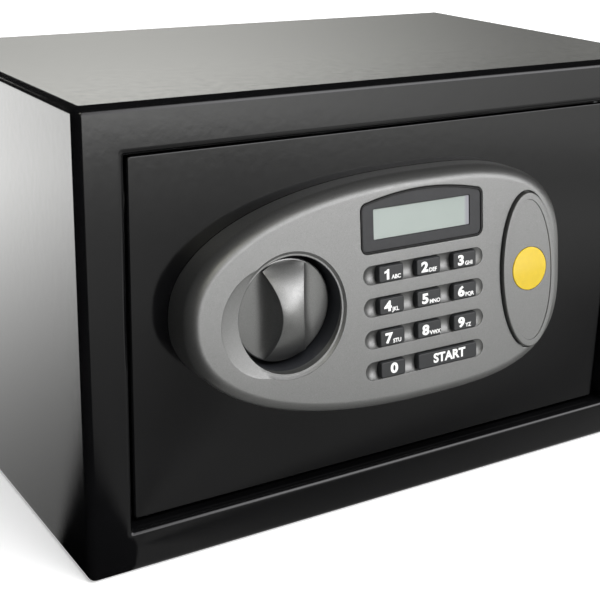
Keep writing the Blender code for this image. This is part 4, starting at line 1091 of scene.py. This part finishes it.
def knob():
    """A disc with a waisted grip bar: convex crown, hollow flanks that run out into the disc's face."""
    out = facing_out(KNOB_X, 0, KNOB_Z)
    face, back = -KNOB_FACE, -KNOB_BACK
    reach = KNOB_RADIUS + 0.002
    leaning = out @ Matrix.Rotation(GRIP_LEAN, 4, "Z")
    sections = [grip_section(leaning, reach * (i / 36 - 1)) for i in range(73)]
    chamfer, rim = 0.0004, KNOB_RIM
    profile = [(KNOB_RADIUS - chamfer, back), (KNOB_RADIUS, back + chamfer)]
    profile += [(KNOB_RADIUS - rim * turn_in, face - rim * drop) for turn_in, drop in quarter(6)[::-1]]
    profile.append((KNOB_RADIUS - rim, face + GRIP_HEIGHT + 0.001))
    disc = loft("turned", [turned(out, radius, height, KNOB_SIDES) for radius, height in profile])
    mesh = combine(loft("knob", sections), "INTERSECT", disc)
    piece("turn_knob", mesh, KNOB_LIGHTENED_SILVER, "knob", "silver_lacquer", "knob", angle=35)


# ---------------------------------------------------------------- pieces taken as they are


def carried(material, *nodes):
    for node in nodes:
        mesh = bpy.data.objects[node].data
        mesh.materials.clear()
        mesh.materials.append(material)


def numbered(stem, count):
    return ["%s_%d" % (stem, i) for i in range(1, count + 1)]


for make in (body, door, bezel, gasket, surround, display, cover, badge, key_caps, legends, knob):
    make()
carried(BLACK, "back_panel", "hinge_knuckle_upper", "hinge_knuckle_lower")
carried(FELT, "floor_mat")
carried(ZINC, "hinge_bracket_upper", "hinge_bracket_lower", "lock_cam", "bolt_carriage", "bolt_guide_upper")
carried(ZINC, "bolt_guide_lower", "solenoid_frame", "override_lock_nut", "override_cam")
carried(ZINC, *numbered("inner_cover_screw", 4))
carried(BRIGHT, "hinge_pin_upper", "hinge_pin_lower", "knob_spindle", "locking_bolt_upper")
carried(BRIGHT, "locking_bolt_lower", "solenoid_plunger", "plunger_spring", "override_lock_body")
carried(BARE_PLASTIC, "keypad_mat", "battery_tray", "battery_lead", "reset_switch")
carried(GREY_PLASTIC, "inner_cover", "battery_door")
carried(BOARD, "control_board")
carried(WINDING, "solenoid_coil")
carried(JACKET, *numbered("battery", 4))
carried(RED, "reset_button")
carried(BRASS, "override_lock_plug")


# ---------------------------------------------------------------- studio


def stage_object(name, data):
    thing = bpy.data.objects.new(name, data)
    bpy.context.scene.collection.objects.link(thing)
    return thing


def sheet_mesh(name, corners, material):
    shape = bmesh.new()
    shape.faces.new([shape.verts.new(corner) for corner in corners])
    mesh = bpy.data.meshes.new(name)
    shape.to_mesh(mesh)
    shape.free()
    mesh.materials.append(material)
    return mesh


def card(left, right, foot, top):
    """A card's corners; foot and top are (y, z) pairs."""
    return [(left, *foot), (right, *foot), (right, *top), (left, *top)]


def ground(height):
    half = FLOOR_SIZE / 2
    return card(-half, half, (-half, height), (half, height))


def studio_floor():
    """A plain pale floor with a slight glow."""
    finish = Finish("studio_floor", (0.83, 0.83, 0.83), 0.9)
    finish.mottle(3, 0.004)
    finish.set(Specular_IOR_Level=0, Emission_Color=(1, 1, 1, 1), Emission_Strength=FLOOR_GLOW)
    stage_object("floor", sheet_mesh("floor", ground(0), finish.material))


def sun():
    """A broad soft light that leaves no glint."""
    light = bpy.data.lights.new("soft_key", "SUN")
    light.energy = SUN_STRENGTH
    light.angle = SUN_BREADTH
    lamp = stage_object("soft_key", light)
    lamp.rotation_euler = Vector(SUN_SIDE).to_track_quat("Z", "Y").to_euler()
    lamp.visible_glossy = False


class Glow(Nodes):
    """The brightness of a reflector card, put together from its place in the studio."""

    def __init__(self, name, colour):
        super().__init__(name)
        self.nodes.clear()
        out = self.nodes.new("ShaderNodeOutputMaterial")
        self.light = self.nodes.new("ShaderNodeEmission")
        self.light.inputs["Color"].default_value = (*colour, 1)
        self.links.new(self.light.outputs[0], out.inputs["Surface"])
        self.place = self.nodes.new("ShaderNodeNewGeometry")
        self.x, self.y, self.z = self.parts(self.place.outputs["Position"])

    def source_height(self):
        """The height of the surface that mirrors this point of the card."""
        length = self.nodes.new("ShaderNodeLightPath").outputs["Ray Length"]
        climb = self.parts(self.place.outputs["Incoming"])[2]
        return self.plus(self.z, self.times(climb, length))

    def ease(self, value, start, end, low, high):
        ramp = self.ramp(value, start, end, low, high)
        ramp.interpolation_type = "SMOOTHSTEP"
        return ramp.outputs["Result"]

    def shine(self, value):
        self.feed(value, self.light.inputs["Strength"])
        return self.material


def reflector(name, corners, material):
    """A card that only shows as a reflection."""
    sheet = stage_object(name, sheet_mesh(name, corners, material))
    sheet.visible_camera = False
    sheet.visible_diffuse = False
    sheet.visible_shadow = False
    sheet.visible_transmission = False
    sheet.visible_volume_scatter = False


def floor_reflector():
    """What the paint mirrors off the ground: bright behind, dim at the right, black at the left front."""
    glow = Glow("ground_glow", (1.0, 1.0, 0.985))
    across, along = glow.plus(glow.x, -GROUND_MIDDLE[0]), glow.plus(glow.y, -GROUND_MIDDLE[1])
    bearing = glow.times(glow.compute("ARCTAN2", across, along), 180 / math.pi)
    reach = glow.length(across, along)
    behind = glow.times(glow.ease(bearing, -31, -26, 0, 1), glow.ease(bearing, 60, 100, 1, 0))
    behind = glow.times(behind, glow.plus(glow.ease(reach, 0, 0.8, 0, 3.1), 0.3))
    front = glow.times(glow.ease(bearing, 60, 100, 0, 1), glow.ease(bearing, 164, 176, 1, 0))
    bright = glow.plus(
        glow.ease(reach, 0.10, 0.40, 0.32, 0.60),
        glow.ease(reach, 0.40, 0.70, 0, 0.45),
        glow.ease(reach, 0.68, 1.00, 0, 2.4),
    )
    front = glow.times(front, bright, glow.ease(bearing, 115, 170, 0.25, 1.05))
    side = glow.times(glow.ease(reach, 0.15, 0.35, 0, 0.45), glow.ease(reach, 0.6, 0.9, 1, 0))
    side = glow.times(side, glow.ease(bearing, 100, 120, 0, 1), glow.ease(bearing, 130, 148, 1, 0))
    foot = glow.times(glow.ease(reach, 0.2, 0.45, 0.22, 0), glow.ease(bearing, 93, 104, 0, 1))
    foot = glow.times(foot, glow.ease(bearing, 125, 145, 1, 0))
    reflector("ground_reflector", ground(0.0004), glow.shine(glow.plus(behind, front, side, foot)))


def back_reflector():
    """A long low card behind the safe, brightest at the left and along its top."""
    glow = Glow("back_glow", (1.0, 1.0, 0.95))
    value = glow.times(glow.ease(glow.x, 0.45, 1.75, 0.88, 0.24), glow.ease(glow.z, 0.40, 0.62, 0.95, 2.1))
    reflector("back_reflector", card(*BACK_CARD), glow.shine(value))


def front_reflector():
    """A low card at the right front, shaded from the safe's top."""
    glow = Glow("front_glow", (0.99, 0.98, 1.0))
    low = glow.times(glow.ease(glow.x, 0.1, 1.5, 3.0, 1.2), glow.ease(glow.z, 0.2, 0.5, 1.0, 0.4))
    high = glow.times(glow.ease(glow.x, 0.25, 0.8, 0, 3.4), glow.ease(glow.z, 0.15, 0.4, 0, 1))
    value = glow.times(glow.plus(low, high), glow.ease(glow.z, 0.75, 1.3, 1, 0.2))
    light_scale = glow.ease(glow.source_height(), HEIGHT - 0.0010, HEIGHT - 0.0002, 1, TOP_SHADE)
    reflector("front_reflector", card(*FRONT_CARD), glow.shine(glow.times(value, light_scale)))


def warm_reflector():
    """A small warm card high at the left front."""
    glow = Glow("warm_glow", (1.0, 0.98, 0.84))
    reflector("warm_reflector", card(*WARM_CARD), glow.shine(WARM_GLOW))


def surroundings():
    """A dark studio that is pale where the camera looks straight at it."""
    world = bpy.data.worlds.new("studio")
    bpy.context.scene.world = world
    world.use_nodes = True
    nodes, links = world.node_tree.nodes, world.node_tree.links
    path = nodes.new("ShaderNodeLightPath")
    mix = nodes.new("ShaderNodeMix")
    mix.data_type = "FLOAT"
    mix.inputs["A"].default_value = WORLD_GREY
    mix.inputs["B"].default_value = 1.0
    links.new(path.outputs["Is Camera Ray"], mix.inputs["Factor"])
    links.new(mix.outputs["Result"], nodes["Background"].inputs["Strength"])
    nodes["Background"].inputs["Color"].default_value = (1, 1, 1, 1)


def camera():
    """A long lens left of the safe, a little above it."""
    yaw, pitch, roll = (math.radians(a) for a in (CAMERA_YAW, CAMERA_PITCH, CAMERA_ROLL))
    forward = Vector((math.sin(yaw) * math.cos(pitch), math.cos(yaw) * math.cos(pitch), -math.sin(pitch)))
    right = Vector((math.cos(yaw), -math.sin(yaw), 0))
    up = right.cross(forward)
    right, up = right * math.cos(roll) + up * math.sin(roll), up * math.cos(roll) - right * math.sin(roll)
    lens = bpy.data.cameras.new("camera")
    lens.sensor_width = 36
    lens.lens = CAMERA_LENS
    lens.shift_x, lens.shift_y = CAMERA_SHIFT
    lens.clip_start = 0.02
    view = bpy.data.objects.new("camera", lens)
    turn = Matrix((right, up, -forward)).transposed().to_4x4()
    view.matrix_world = Matrix.Translation(spot(*CAMERA_PLACE)) @ turn
    bpy.context.scene.collection.objects.link(view)
    bpy.context.scene.camera = view


studio_floor()
floor_reflector()
back_reflector()
front_reflector()
warm_reflector()
sun()
surroundings()
camera()
bpy.context.scene.view_settings.view_transform = "Standard"
